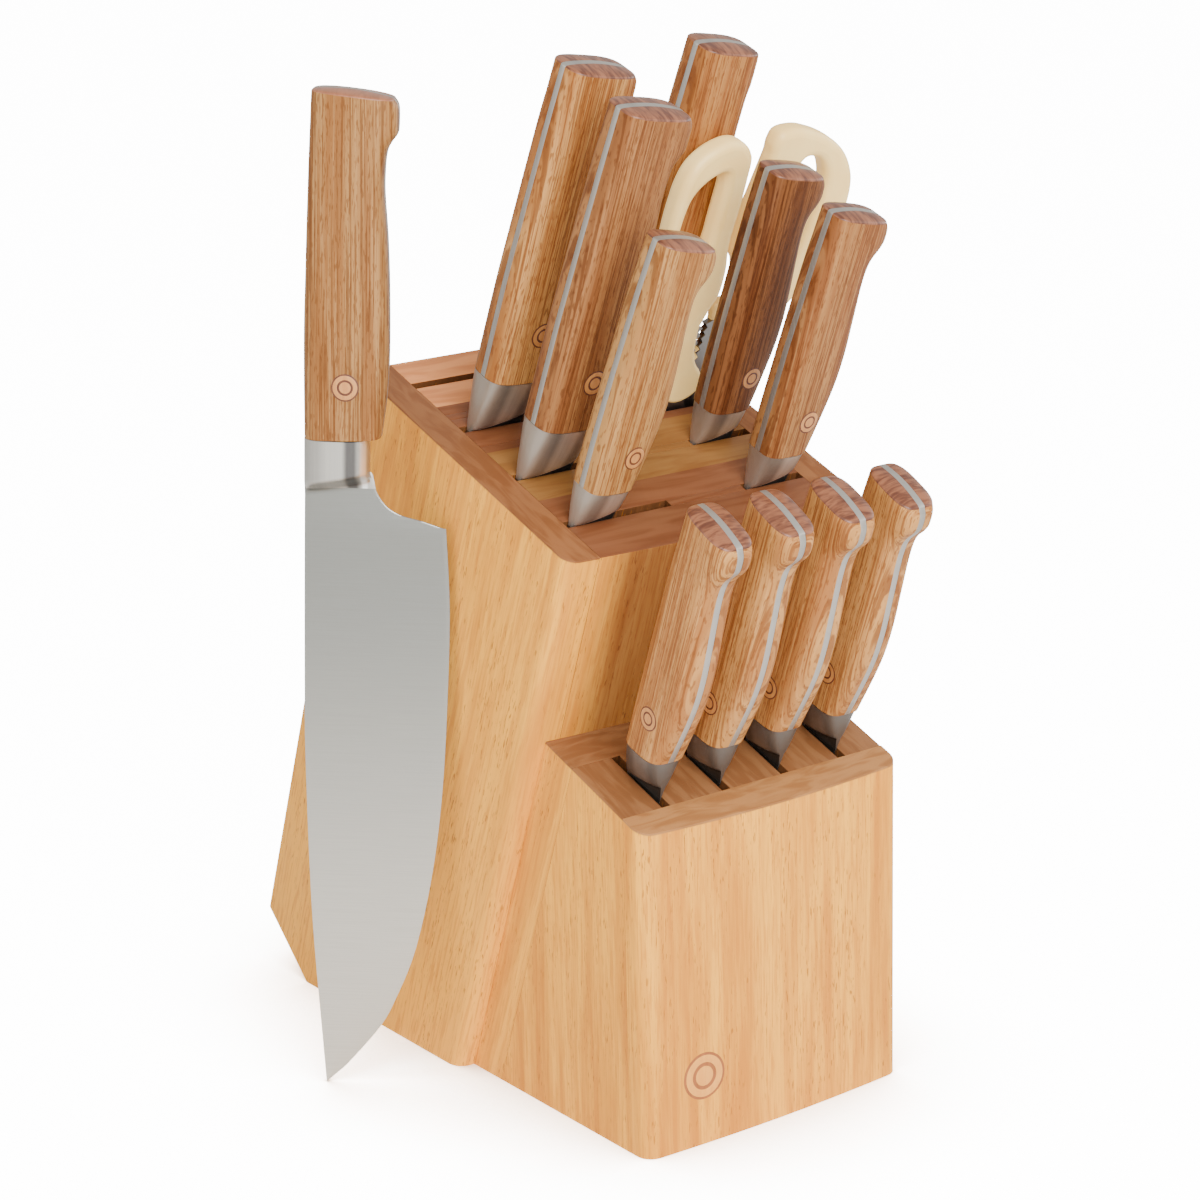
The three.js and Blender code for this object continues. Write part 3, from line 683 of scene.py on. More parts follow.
PLAIN_STATIONS = tuple((a0, z0, plain_butt(a1, z0), z1) for a0, z0, a1, z1 in LARGE["stations"])
PLAIN_BUTT = {**LARGE, "stations": PLAIN_STATIONS}
BLADE_THICK = 2.2
STEAK_THICK = 1.8
TANG = 2.4
TANG_GAP = 0.04
BUTT_RISE = 1.7
OVAL = 3.1


def stretched_rows(pattern, length):
    """The handle's stations, spaced for its own length."""
    z0 = pattern["stations"][0][1]
    k = (length - z0) / (pattern["length"] - z0)
    return [(a0, z0 + (za - z0) * k, a1, z0 + (zb - z0) * k) for a0, za, a1, zb in pattern["stations"]]


def oval_point(angle):
    """Point of the handle's cross-section: u from spine to edge, and share of the thickness."""
    c, n = -math.cos(angle), math.sin(angle)
    u = (1 + math.copysign(abs(c) ** (2 / OVAL), c)) / 2
    return u, max(0.0, n) ** (2 / OVAL)


def scale_section(row, side, half, shrink=1.0, rise=0.0, steps=22):
    a0, z0, a1, z1 = row
    base = TANG / 2 + TANG_GAP
    points = []
    for angle in spread(0, math.pi, steps):
        u, v = oval_point(angle)
        u = 0.5 + (u - 0.5) * shrink
        b = side * (base + (half - base) * v * shrink)
        points.append((a0 + (a1 - a0) * u, b, z0 + (z1 - z0) * u + rise))
    return points


def canted(point, cant):
    """The handle turns about the bolster's lower spine corner, in the plane of the blade."""
    a, b, z = point
    if z <= 0 or cant == 0:
        return point
    c, n = math.cos(math.radians(cant)), math.sin(math.radians(cant))
    return (a * c + z * n, b, z * c - a * n)


# (share of the section left, rise) of the rounded butt
CROWN = (
    (0.992, 0.22), (0.975, 0.42), (0.94, 0.6), (0.85, 0.85), (0.65, 1.2), (0.4, 1.5), (0.15, BUTT_RISE),
)


def make_scale(name, pattern, length, side, place, body, wood, butt):
    matrix, cant = place
    rows = catmull(stretched_rows(pattern, length), 4)
    half = pattern["thick"] / 2
    sections = [scale_section(rows[0], side, half - 0.25, 0.985, -0.02)]
    sections += [scale_section(row, side, half) for row in rows]
    sections += [scale_section(rows[-1], side, half, k, rise) for k, rise in CROWN]
    verts, faces = loft_faces(sections)
    a0, z0, a1, z1 = rows[-1]

    def paint(center):
        u = (center.x - a0) / (a1 - a0)
        return 1 if center.z > z0 + (z1 - z0) * u + 0.1 else 0

    obj = mesh_object(name, verts, faces, WORLD, [wood, butt], sharp=50, paint=paint)
    bend(obj, matrix, cant)
    finished(obj, body, "handle_wood", name.removesuffix("_wood"))


def bend(obj, matrix, cant):
    """Cants a knife's mesh, then moves it into place; "local" keeps the straight frame."""
    for vertex in obj.data.vertices:
        vertex.co = Vector(canted(vertex.co / MM, cant)) * MM
    obj.data.transform(matrix)


# (share from spine to edge, share of the half thickness) round the tang
TANG_RING = ((0, 0.8), (0.004, 1), (0.996, 1), (1, 0.8), (1, -0.8), (0.996, -1), (0.004, -1), (0, -0.8))


def tang_section(row, shrink=1.0, rise=0.0):
    a0, z0, a1, z1 = row
    section = []
    for u, v in TANG_RING:
        u = 0.5 + (u - 0.5) * shrink
        section.append((a0 + (a1 - a0) * u, v * TANG / 2, z0 + (z1 - z0) * u + rise))
    return section


def tang_sections(pattern, length):
    """The full tang, which shows as a line round the handle and over the butt's crown."""
    rows = catmull(stretched_rows(pattern, length), 4)
    return [tang_section(row) for row in rows] + [tang_section(rows[-1], k, rise) for k, rise in CROWN]


BLADE_STEPS = 26
NECK_PAINTED_REFLECTIONS = (
    # a, half width and colour of the painted reflections across the chef's neck, a dark band and a bright
    # one
    (15.5, 3.0, (0.10, 0.095, 0.09)),
    (19.3, 1.3, (0.95, 0.93, 0.9)),
)


def oval(u):
    """Share of the thickness at a share of the way from spine to edge."""
    return max(0.0, 1 - abs(2 * u - 1) ** OVAL) ** (1 / OVAL)


def across(a0, a1):
    """Places from spine to edge, closer together at both ends."""
    return [a0 + (a1 - a0) * (1 - math.cos(angle)) / 2 for angle in spread(0, math.pi, BLADE_STEPS)]


def blade_half(thickness, a0, a1, a):
    """Half thickness of a blade that thins from spine to edge."""
    w = (a - a0) / (a1 - a0)
    return 0.06 if w > 0.995 else thickness / 2 * (1 - 0.85 * w**1.3)


def ring_of(points):
    """A closed section from its (a, half thickness, z) points."""
    return [(a, -h, z) for a, h, z in points] + [(a, h, z) for a, h, z in reversed(points)]


def blade_rings(rows, thickness):
    rings = []
    for z, a0, a1 in rows:
        rings.append(ring_of([(a, blade_half(thickness, a0, a1, a), z) for a in across(a0, a1)]))
    return rings


# Gap between bolster and scales, and how far the bolster lies inside them
TOP_GAP = 0.05
BOLSTER_INSET = 0.15


def bolster_line(pattern, a):
    """z of the bolster's slanting lower line."""
    return pattern["line"] * max(0.0, a / pattern["neck"]) ** 1.3


def wedge_rings(pattern, thickness):
    """Bolster of the knives in the block: an oval that thins to a slanting lower line."""
    top = pattern["stations"][0][1] - TOP_GAP
    full = pattern["thick"] / 2 - BOLSTER_INSET
    plate = thickness / 2
    rings = []
    levels = [(-0.03, 0.0)] + [(k * k, 0.09 + 0.91 * k) for k in spread(0, 1, 18)]
    for v, share in levels:
        points = []
        for a in across(0.0, pattern["neck"]):
            line = bolster_line(pattern, a)
            half = plate + (full * oval(a / pattern["neck"]) - plate) * share
            points.append((a, max(0.05, half), line + (top - line) * v))
        rings.append(ring_of(points))
    return rings


SPINE_INSET = 0.04


def neck_rings(pattern, rows, thickness):
    """The chef's neck: an oval column that flows into the flat of the blade."""
    full = pattern["thick"] / 2 - BOLSTER_INSET
    neck = pattern["neck"]
    fillet = pattern["fillet"]
    rings = []
    for z, a0, a1 in rows:
        points = []
        for a in across(a0 + SPINE_INSET, a1):
            u = min(1.0, max(0.0, a / neck))
            t = (z - fillet["low"] - fillet["rise"] * u) / fillet["height"]
            t = min(1.0, max(0.0, t))
            plate = blade_half(thickness, a0, a1, a)
            swell = full * oval(u)
            half = plate + max(0.0, swell - plate) * t * t * (3 - 2 * t)
            points.append((a, half, z))
        rings.append(ring_of(points))
    return rings


def plain_blade_rows(pattern, blade):
    """A hidden blade: (z, spine a, edge a) from the tip up to the heel."""
    length, height, tip, heel = blade
    rows = []
    for k in spread(0, 1, 10):
        z = -length + k * length * 0.45
        spine = tip * (1 - k) ** 2
        edge = spine + (height - spine) * math.sqrt(max(0.0, 1 - (1 - k) ** 2)) + 0.2
        rows.append((z, spine, edge))
    rows += [(z, 0.0, height) for z in spread(-length * 0.5, -heel, 5)]
    rows += [(-heel + 0.4, 0.0, pattern["neck"]), (-1.0, 0.0, pattern["neck"])]
    return rows


def steel_paint(pattern, split, has_shadow):
    """0 bolster, 1 blade below z = split, 2 tang, 3 the painted shadow: a dark strip under the bolster's
    lower line.
    """
    tang_start = pattern["stations"][0][1] + 0.5

    def paint(center):
        if center.z > tang_start:
            return 2
        shadow_top = bolster_line(pattern, center.x) * pattern.get("shadow", 1.0) + 0.2
        beside = center.y < -0.3 or "shadow" not in pattern
        under_line = split < center.z < shadow_top and 1.5 < center.x < pattern["neck"] + 1
        if has_shadow and beside and under_line:
            return 3
        return 0 if center.z > split else 1

    return paint


def make_knife(name, pattern, length, rings, place, looks):
    """place is (matrix, cant); looks is (handle wood, butt wood, steels, split, mark materials)."""
    wood, butt, steels, split, mark = looks
    matrix, cant = place
    verts, faces = loft_faces(rings)
    more, more_faces = loft_faces(tang_sections(pattern, length), len(verts))
    paint = steel_paint(pattern, split, len(steels) > 3)
    obj = mesh_object(name + "_blade_steel", verts + more, faces + more_faces, WORLD, steels,
                      sharp=40, paint=paint)
    bend(obj, matrix, cant)
    finished(obj, name, "steel", name + "_blade")
    make_scale(name + "_scale_front_wood", pattern, length, -1, place, name, wood, butt)
    make_scale(name + "_scale_back_wood", pattern, length, 1, place, name, wood, butt)
    make_mark(name, pattern, place, mark)


def lathe(profile, count=48):
    """Closed profile of (radius, height) turned about the piece's own Z."""
    sections = []
    for turn in spread(0, 2 * math.pi, count)[:-1]:
        sections.append([(r * math.cos(turn), r * math.sin(turn), h) for r, h in profile])
    verts, faces = loft_faces(sections, cap_ends=False)
    n, last = len(profile), (count - 1) * len(profile)
    faces += [(last + i, last + (i + 1) % n, (i + 1) % n, i) for i in range(n)]
    return verts, faces


# Shares of the mark's radius: where the rim's groove starts, and the ring's groove
RIM_GROOVE = 0.89
RING_OUTER = 0.58
RING_INNER = 0.42


def mark_profile(radius, rise):
    """(radius, height) of a thin disc with a groove at its rim and a ring-shaped one inside it."""
    r = radius
    low = 0.03
    foot = -0.6
    return [
        (0.02, foot), (r, foot), (r, low), (r * (RIM_GROOVE + 0.03), low), (r * RIM_GROOVE, rise),
        (r * RING_OUTER, rise), (r * (RING_OUTER - 0.02), low), (r * (RING_INNER + 0.02), low),
        (r * RING_INNER, rise), (r * 0.16, rise), (0.02, rise),
    ]


def draped(profile, count, surface):
    """A lathed disc laid on a surface: surface(u, v, height) gives the point."""
    verts, faces = lathe(profile, count)
    return [surface(*v) for v in verts], faces


def mark_paint(radius, middle):
    """1 in the grooves, 0 elsewhere."""
    def paint(center):
        share = math.dist((center.x, center.z), middle) / radius
        return 1 if share > RIM_GROOVE or RING_INNER < share < RING_OUTER else 0

    return paint


def make_mark(name, pattern, place, materials):
    """The round mark on the handle's side towards the viewer, a plain ring."""
    matrix, cant = place
    a, z, radius = pattern["mark"]
    row = interpolated_row(pattern["stations"], z)
    half, base = pattern["thick"] / 2, TANG / 2 + TANG_GAP

    def surface(u, v, height):
        across_u = (a + u - row[0]) / (row[1] - row[0])
        return (a + u, -(base + (half - base) * oval(across_u) + height), z + v)

    verts, faces = draped(mark_profile(radius, 0.1), 48, surface)
    obj = mesh_object(name + "_mark", verts, faces, WORLD, materials, sharp=30,
                      paint=mark_paint(radius, (a, z)))
    bend(obj, matrix, cant)
    finished(obj, name, "handle_wood")


def interpolated_row(stations, z):
    """Spine and edge a of the handle at a height."""
    return [interpolated([(row[1], row[i]) for row in stations], z) for i in (0, 2)]


# (z, a) of the chef's knife from the tip up: its spine, its edge, and the heel's curve to the neck
CHEF_SPINE = (
    (-204.1, 7.5), (-153.4, 3.2), (-123.4, 1.5), (-86.4, 0.2), (-67.4, -0.05), (-33.4, -0.1),
    (0.0, 0.0), (22.0, 0.2),
)
CHEF_EDGE = (
    (-204.1, 7.6), (-200.4, 11.5), (-196.4, 15.3), (-183.6, 25.2), (-173.4, 30.4), (-155.0, 37.0),
    (-127.2, 42.4), (-97.6, 45.4), (-63.5, 46.7), (-35.4, 46.9), (-9.4, 45.4),
)
CHEF_HEEL = (
    (-9.4, 45.4), (-8.9, 43.2), (-7.1, 37.4), (-5.5, 31.0), (-3.0, 26.6), (1.5, 23.2), (5.7, 22.2),
    (7.8, 21.6), (8.6, 20.7),
)


def interpolated(table, z):
    for (z0, a0), (z1, a1) in zip(table, table[1:]):
        if z <= z1:
            return a0 + (a1 - a0) * (z - z0) / (z1 - z0)
    return table[-1][1]


def chef_rows():
    """(z, spine a, edge a) from the tip up to the scales."""
    top = CHEF["stations"][0][1] - TOP_GAP
    edge = catmull(CHEF_EDGE, 6) + catmull(CHEF_HEEL, 6)[1:]
    edge += [(z, CHEF["neck"]) for z in spread(8.9, top, 18)]
    spine = catmull(CHEF_SPINE, 8)
    return [(z, interpolated(spine, z), a) for z, a in edge]


MAIN_KNIVES = (
    # name, pattern, length, (blade length, height, tip, heel), x, s, cant
    ("bread_knife", LARGE, 129.4, (203, 29, 12, 8), -44.9, 78.2, 3.1),
    ("santoku_knife", LARGE, 129.8, (178, 36, 16, 8), -46.2, 47.6, 3.1),
    ("carving_knife", PLAIN_BUTT, 127.4, (203, 27, 8, 8), 13.9, 86.3, 2.9),
    ("utility_knife", SMALL, 100.4, (140, 23, 6, 7), -45.8, 18.8, 3.7),
    ("tomato_knife", SMALL, 101.0, (115, 18.5, 4, 7), 24.2, 47.6, 1.1),
    ("paring_knife", SMALL, 100.4, (89, 18, 5, 6), 25.2, 18.8, 2.3),
)
TONES = {
    # knife: (light, dark) of its handle wood
    "bread_knife": ((0.50, 0.235, 0.068), (0.32, 0.115, 0.027)),
    "santoku_knife": ((0.30, 0.125, 0.040), (0.20, 0.070, 0.021)),
    "carving_knife": ((0.37, 0.155, 0.042), (0.28, 0.096, 0.024)),
    "utility_knife": ((0.40, 0.195, 0.060), (0.30, 0.120, 0.032)),
    "tomato_knife": ((0.19, 0.07, 0.023), (0.11, 0.033, 0.010)),
    "paring_knife": ((0.35, 0.155, 0.050), (0.23, 0.080, 0.024)),
    "chef_knife": ((0.34, 0.165, 0.054), (0.25, 0.100, 0.028)),
}
STEAK_TONE = ((0.50, 0.235, 0.068), (0.37, 0.145, 0.040))
STEAK_SHAPE = (112, 17.5, 5, 6)
STEAK_LIFT = 1.0
BUTT_LIGHT = (0.25, 0.092, 0.042)
BUTT_DARK = (0.09, 0.026, 0.012)
# z at which bolster steel gives way to blade steel
BLOCK_SPLIT = -1.2
CHEF_SPLIT = 3.0
CHEF_TIP = Vector((-99.4, 27.5, 0.05))
CHEF_TURN = math.radians(-40)
CHEF_TILT = math.radians(2.9)
CHEF_TIP_A = 7.6
CHEF_BLADE = 204.1


def make_knives():
    # Bolster steel: its warm tint and its light and dark bands are painted reflections.
    bolster = steel("bolster_steel", (0.66, 0.58, 0.48), (0.32, 0.27, 0.22), 0.4)
    # The steak knives' bolsters: a darker copy of the bolster steel, painted shade.
    shaded_bolster = steel("steak_bolster_shaded_steel", (0.27, 0.245, 0.22), (0.15, 0.135, 0.12), 0.4)
    # The chef's neck: a dark band and a bright band across it, painted reflections.
    neck = steel("neck_steel", (0.52, 0.50, 0.45), (0.44, 0.42, 0.38), 0.34, metallic=0.85,
                 stripes=NECK_PAINTED_REFLECTIONS)
    # Blade steel: light at the tip and dark towards the heel, a painted reflection.
    blade = steel("blade_steel", (0.27, 0.272, 0.25), (0.73, 0.70, 0.62), 0.36,
                  (1 / 25, 1 / 25, 1 / 0.4), 1.0, (-190.0, -10.0))
    tang = steel("tang_steel", (0.46, 0.435, 0.39), (0.38, 0.36, 0.32), 0.42)
    # Near-black steel for the strip under the bolsters' lower line: a painted shadow.
    shadow = steel("shadow_steel", (0.035, 0.029, 0.022), (0.025, 0.02, 0.015), 0.5, metallic=0.6)
    burn = smooth_wood("mark_burn_wood", (0.12, 0.036, 0.012), (0.08, 0.022, 0.008), 5.0, 0.5)
    disc = smooth_wood("mark_wood", (0.56, 0.235, 0.066), (0.48, 0.19, 0.05), 4.0, 0.45)
    mark = [disc, burn]
    make_block_knives([bolster, blade, tang, shadow], mark)
    make_steak_knives([shaded_bolster, blade, tang, shadow], mark)
    make_chef_knife([neck, blade, tang], mark)


def make_block_knives(steels, mark):
    for seed, (name, pattern, length, shape, x, s, cant) in enumerate(MAIN_KNIVES):
        wood = handle_wood(name + "_handle_wood", *TONES[name], seed + 1.3)
        butt = smooth_wood(name + "_butt_wood", BUTT_LIGHT, BUTT_DARK, seed + 0.4)
        matrix = frame_matrix(lean_point(x, s, 0), X_DIR, T_DIR)
        rings = blade_rings(plain_blade_rows(pattern, shape), BLADE_THICK)
        rings += wedge_rings(pattern, BLADE_THICK)
        make_knife(name, pattern, length, rings, (matrix, cant), (wood, butt, steels, BLOCK_SPLIT, mark))


def make_steak_knives(steels, mark):
    for i, x in enumerate(STEAK_X):
        name = f"steak_knife_{i + 1}"
        wood = handle_wood(name + "_handle_wood", *STEAK_TONE, 11.7 + 2.3 * i)
        butt = smooth_wood(name + "_butt_wood", BUTT_LIGHT, BUTT_DARK, 9.2 + i)
        matrix = frame_matrix(lean_point(x, STEAK_SPINE_S, LOW_TOP_T + STEAK_LIFT), -S_DIR, T_DIR)
        rings = blade_rings(plain_blade_rows(STEAK, STEAK_SHAPE), STEAK_THICK)
        rings += wedge_rings(STEAK, STEAK_THICK)
        looks = (wood, butt, steels, BLOCK_SPLIT, mark)
        make_knife(name, STEAK, STEAK["length"], rings, (matrix, 0.0), looks)


def make_chef_knife(steels, mark):
    """The chef's knife stands on its tip beside the block."""
    across_x = Vector((math.cos(CHEF_TURN), math.sin(CHEF_TURN), 0))
    up = Vector((0, 0, 1))
    z_axis = up * math.cos(CHEF_TILT) + across_x * math.sin(CHEF_TILT)
    a_axis = across_x * math.cos(CHEF_TILT) - up * math.sin(CHEF_TILT)
    origin = CHEF_TIP - a_axis * CHEF_TIP_A + z_axis * CHEF_BLADE
    wood = handle_wood("chef_handle_wood", *TONES["chef_knife"], 21.5)
    butt = smooth_wood("chef_butt_wood", tuple(c * 1.3 for c in BUTT_LIGHT), BUTT_LIGHT, 3.3)
    matrix = frame_matrix(origin, a_axis, z_axis)
    rings = neck_rings(CHEF, chef_rows(), BLADE_THICK)
    looks = (wood, butt, steels, CHEF_SPLIT, mark)
    make_knife("chef_knife", CHEF, CHEF["length"], rings, (matrix, 0.0), looks)


# ---------------------------------------------------------------- shears
# Own frame: p across, b through, q up along their axis.
SHEARS_TILT = 6.7
LEFT_LOOP = (
    (-4.2, 91), (-6, 95.4), (-10, 98.4), (-15, 99.2), (-20.4, 97.4), (-25.4, 94), (-29, 89.2),
    (-30.6, 83), (-30.8, 76), (-30.4, 68), (-29, 55), (-27, 44.4), (-22.6, 33), (-15, 27),
    (-8, 30), (-3, 36), (-0.6, 40.2), (0.6, 45), (0, 53), (-1.8, 60), (-2.6, 66), (-3, 79),
)
LEFT_HOLE = (
    (-11.4, 64), (-11.8, 70), (-12.2, 77), (-12.8, 84), (-14.4, 87.8), (-18.6, 86.2),
    (-22.4, 82.8), (-24.8, 78.6), (-25.6, 73), (-25.4, 66), (-24.4, 57), (-21.6, 48), (-17.6, 42),
    (-13.6, 45), (-11.6, 54),
)
RIGHT_LOOP = (
    (1.6, 76), (1, 64), (1.4, 58.5), (4.6, 54), (6.2, 48), (6.8, 42), (7.5, 36), (12, 30),
    (20, 28), (29, 34), (36, 44), (41, 54), (44.1, 66), (44.4, 77), (42.9, 85), (39.6, 91),
    (35.2, 95.6), (29.9, 99), (23, 101.8), (16.7, 103.3), (10.9, 103.9), (4.6, 102.3),
    (2.9, 98), (3.2, 92),
)
RIGHT_HOLE = (
    (15.6, 84), (14.6, 72), (13.8, 56), (14.8, 45), (18.5, 41), (23, 45), (27.5, 54),
    (30.5, 65), (31.5, 76), (30.8, 84), (28.4, 89.5), (24.9, 92.9), (20, 93.6), (17.2, 91),
)
ARM = (
    (-16, 36), (-9, 40), (-3, 38.6), (-3.4, 35.2), (-4.2, 31.7), (-3.7, 27.7), (-2.6, 22),
    (-0.2, 17.8), (2.6, 15), (4.3, 11.7), (4.3, 8.5), (1.6, 5.4), (-2.7, 3.4), (-7, 3.6),
    (-11.5, 6.5), (-14.5, 12), (-17, 22),
)
SHEARS_PLACE = (35, 71, -1.4)
LOOP_THICK = 8.0
LOOP_SOFT = 2.8
ARM_SOFT = 1.3
ARM_GAP = 0.2
STEEL_THICK = 2.4
STEEL_GAP = 0.15
PIVOT_Q = -12.0
PIVOT_BORE_R = 3.3


def closed_smooth(points, steps=6):
    """A closed outline smoothed through its points."""
    wrapped = [points[-1], *points, points[0], points[1]]
    return catmull(wrapped, steps)[steps:-2 * steps - 1]


def outline_solid(outlines, b0, b1, soft, resolution=4):
    """Vertices and faces of a rounded plate cut to outlines (the first outer, others holes)."""
    curve = bpy.data.curves.new("outline", "CURVE")
    curve.dimensions = "2D"
    curve.fill_mode = "BOTH"
    curve.extrude = max(1e-6, ((b1 - b0) / 2 - soft)) * MM
    curve.bevel_depth = soft * MM
    curve.bevel_resolution = resolution
    curve.offset = -soft * MM
    for outline in outlines:
        spline = curve.splines.new("POLY")
        spline.points.add(len(outline) - 1)
        spline.use_cyclic_u = True
        for point, (p, q) in zip(spline.points, outline):
            point.co = (p * MM, q * MM, 0, 1)
    holder = bpy.data.objects.new("outline", curve)
    mesh = bpy.data.meshes.new_from_object(holder)
    bpy.data.objects.remove(holder)
    bpy.data.curves.remove(curve)
    middle = (b0 + b1) / 2
    verts = [(v.co.x / MM, middle - v.co.z / MM, v.co.y / MM) for v in mesh.vertices]
    faces = [tuple(p.vertices) for p in mesh.polygons]
    bpy.data.meshes.remove(mesh)
    return verts, faces


def joined(*parts):
    verts, faces = [], []
    for more, more_faces in parts:
        shift = len(verts)
        verts += list(more)
        faces += [tuple(i + shift for i in face) for face in more_faces]
    return verts, faces


def half_turn(part):
    """The part turned half round its own long axis, q."""
    verts, faces = part
    return [(-p, -b, q) for p, b, q in verts], faces


def steel_outline():
    """One blade, from the pivot up past the row of teeth, down the back and to the point."""
    jaw = [(-2.9 if i % 2 else -1.7, q) for i, q in enumerate(spread(17, 31, 10))]
    return [
        (9.6, -12), (9, -6), (2, 1), (-1.5, 6), (-3.6, 13), *jaw, (-6, 33), (-11, 33), (-10.5, 12),
        (-10, 0), (-10.4, -12), (-9.6, -24), (-6, -60), (0, -106), (1.6, -108), (6, -60), (8.2, -24),
    ]


def pivot_bore():
    turns = spread(0, 2 * math.pi, 32)[:-1]
    return [(PIVOT_BORE_R * math.cos(t), PIVOT_Q + PIVOT_BORE_R * math.sin(t)) for t in turns]


def pivot_profile():
    """(radius, height) of the pin and the heads at its ends."""
    upper = [(3, 2.7), (5, 2.75), (5, 3.2), (4.6, 3.5), (0.02, 3.5)]
    return [(r, -h) for r, h in reversed(upper)] + upper


def make_shears():
    plastic = cream_plastic("cream_plastic_shell")
    # The shears' steel made dark grey: painted shade.
    shaded_shears_steel = steel("shears_steel", (0.30, 0.29, 0.27), (0.2, 0.19, 0.18), 0.35, (1 / 0.4, 0, 1 / 12), 1.0)
    tilted = turned(X_DIR, SHEARS_TILT), turned(T_DIR, SHEARS_TILT)
    matrix = frame_matrix(lean_point(*SHEARS_PLACE), *tilted)
    half = LOOP_THICK / 2
    arm = outline_solid([closed_smooth(ARM)], -half + 0.08, -ARM_GAP, ARM_SOFT)
    blade = outline_solid([steel_outline(), pivot_bore()], -STEEL_GAP - STEEL_THICK, -STEEL_GAP, 0.12, 1)
    loops = (("left", LEFT_LOOP, LEFT_HOLE, arm), ("right", RIGHT_LOOP, RIGHT_HOLE, half_turn(arm)))
    for side, outer, hole, own_arm in loops:
        loop = outline_solid([closed_smooth(outer), closed_smooth(hole)], -half, half, LOOP_SOFT)
        name = f"shears_handle_{side}"
        obj = mesh_object(name + "_plastic", *joined(loop, own_arm), matrix, [plastic], sharp=60)
        finished(obj, f"shears_{side}", "cream_plastic", name)
    for side, part in (("left", blade), ("right", half_turn(blade))):
        name = f"shears_blade_{side}"
        obj = mesh_object(name + "_steel", *part, matrix, [shaded_shears_steel], sharp=30)
        finished(obj, f"shears_{side}", "steel", name)
    pin = Matrix.Translation((0, 0, PIVOT_Q * MM)) @ Matrix.Rotation(math.pi / 2, 4, "X")
    obj = mesh_object("shears_pivot_steel", *lathe(pivot_profile()), matrix @ pin, [shaded_shears_steel], sharp=30)
    finished(obj, "shears_left", "steel", "shears_pivot")


# x, z and radius
FRONT_MARK = (-31.0, 23.8, 8.0)


def make_front_mark():
    """The round mark on the lower block's front, a plain ring."""
    disc = smooth_wood("front_mark_wood", (0.80, 0.335, 0.055), (0.76, 0.30, 0.045), 4.0, 0.5)
    burn = smooth_wood("front_burn_wood", (0.36, 0.11, 0.022), (0.30, 0.09, 0.018), 4.6, 0.5)
    x, z, radius = FRONT_MARK

    def surface(u, v, height):
        return (x + u, low_face(x + u) - height, z + v)

    verts, faces = draped(mark_profile(radius, 0.12), 96, surface)
    obj = mesh_object("lower_block_mark", verts, faces, WORLD, [disc, burn], sharp=30,
                      paint=mark_paint(radius, (x, z)))
    finished(obj, "block", "panel_wood")


# ---------------------------------------------------------------- studio
FLOOR_SIZE = 30.0
FLOOR_GLOW = 13.0
FLOOR_SHADOW_GLOW = 0.6
SHADOW_REACH = 0.07


def make_floor():
    """A pale paper floor that fades to white, with a warm soft shadow where the object stands."""
    size = FLOOR_SIZE
    mesh = bpy.data.meshes.new("floor")
    corners = [(-size, -size, 0), (size, -size, 0), (size, size, 0), (-size, size, 0)]
    mesh.from_pydata(corners, [], [(0, 1, 2, 3)])
    floor = bpy.data.objects.new("floor", mesh)
    bpy.context.scene.collection.objects.link(floor)
    m = Shade("floor_paper")
    m.set(Base_Color=(0.86, 0.86, 0.86, 1), Roughness=0.9, Specular_IOR_Level=0.1)
    shadow = m.node("ShaderNodeAmbientOcclusion", samples=8)
    shadow.inputs["Distance"].default_value = SHADOW_REACH
    glow = m.node("ShaderNodeEmission")
    open_air = m.span(shadow.outputs["AO"], 0.25, 1.0)
    m.link(m.mix(open_air, (1.0, 0.62, 0.36), (1.0, 1.0, 1.0)), glow.inputs["Color"])
    path = m.node("ShaderNodeLightPath").outputs["Is Camera Ray"]
    brightness = m.math("ADD", m.math("MULTIPLY", open_air, FLOOR_GLOW), FLOOR_SHADOW_GLOW)
    m.link(m.math("MULTIPLY", path, brightness), glow.inputs["Strength"])
    both = m.node("ShaderNodeAddShader")
    m.link(m.bsdf.outputs[0], both.inputs[0])
    m.link(glow.outputs[0], both.inputs[1])
    m.link(both.outputs[0], m.tree.nodes["Material Output"].inputs["Surface"])
    mesh.materials.append(m.material)


WINDOWS = (
    # direction, inner and outer angle from it in degrees, brightness added
    ((-0.60, -0.80, 0.05), 14, 46, -0.4),
    ((0.83, -0.56, 0.08), 4, 13, -0.7),
    ((1.0, 0.03, 0.15), 8, 24, 4.0),
    ((-0.97, 0.15, 0.35), 8, 34, 1.6),
)


ROOM_STRENGTH = 0.8
BACKDROP_STRENGTH = 14.0


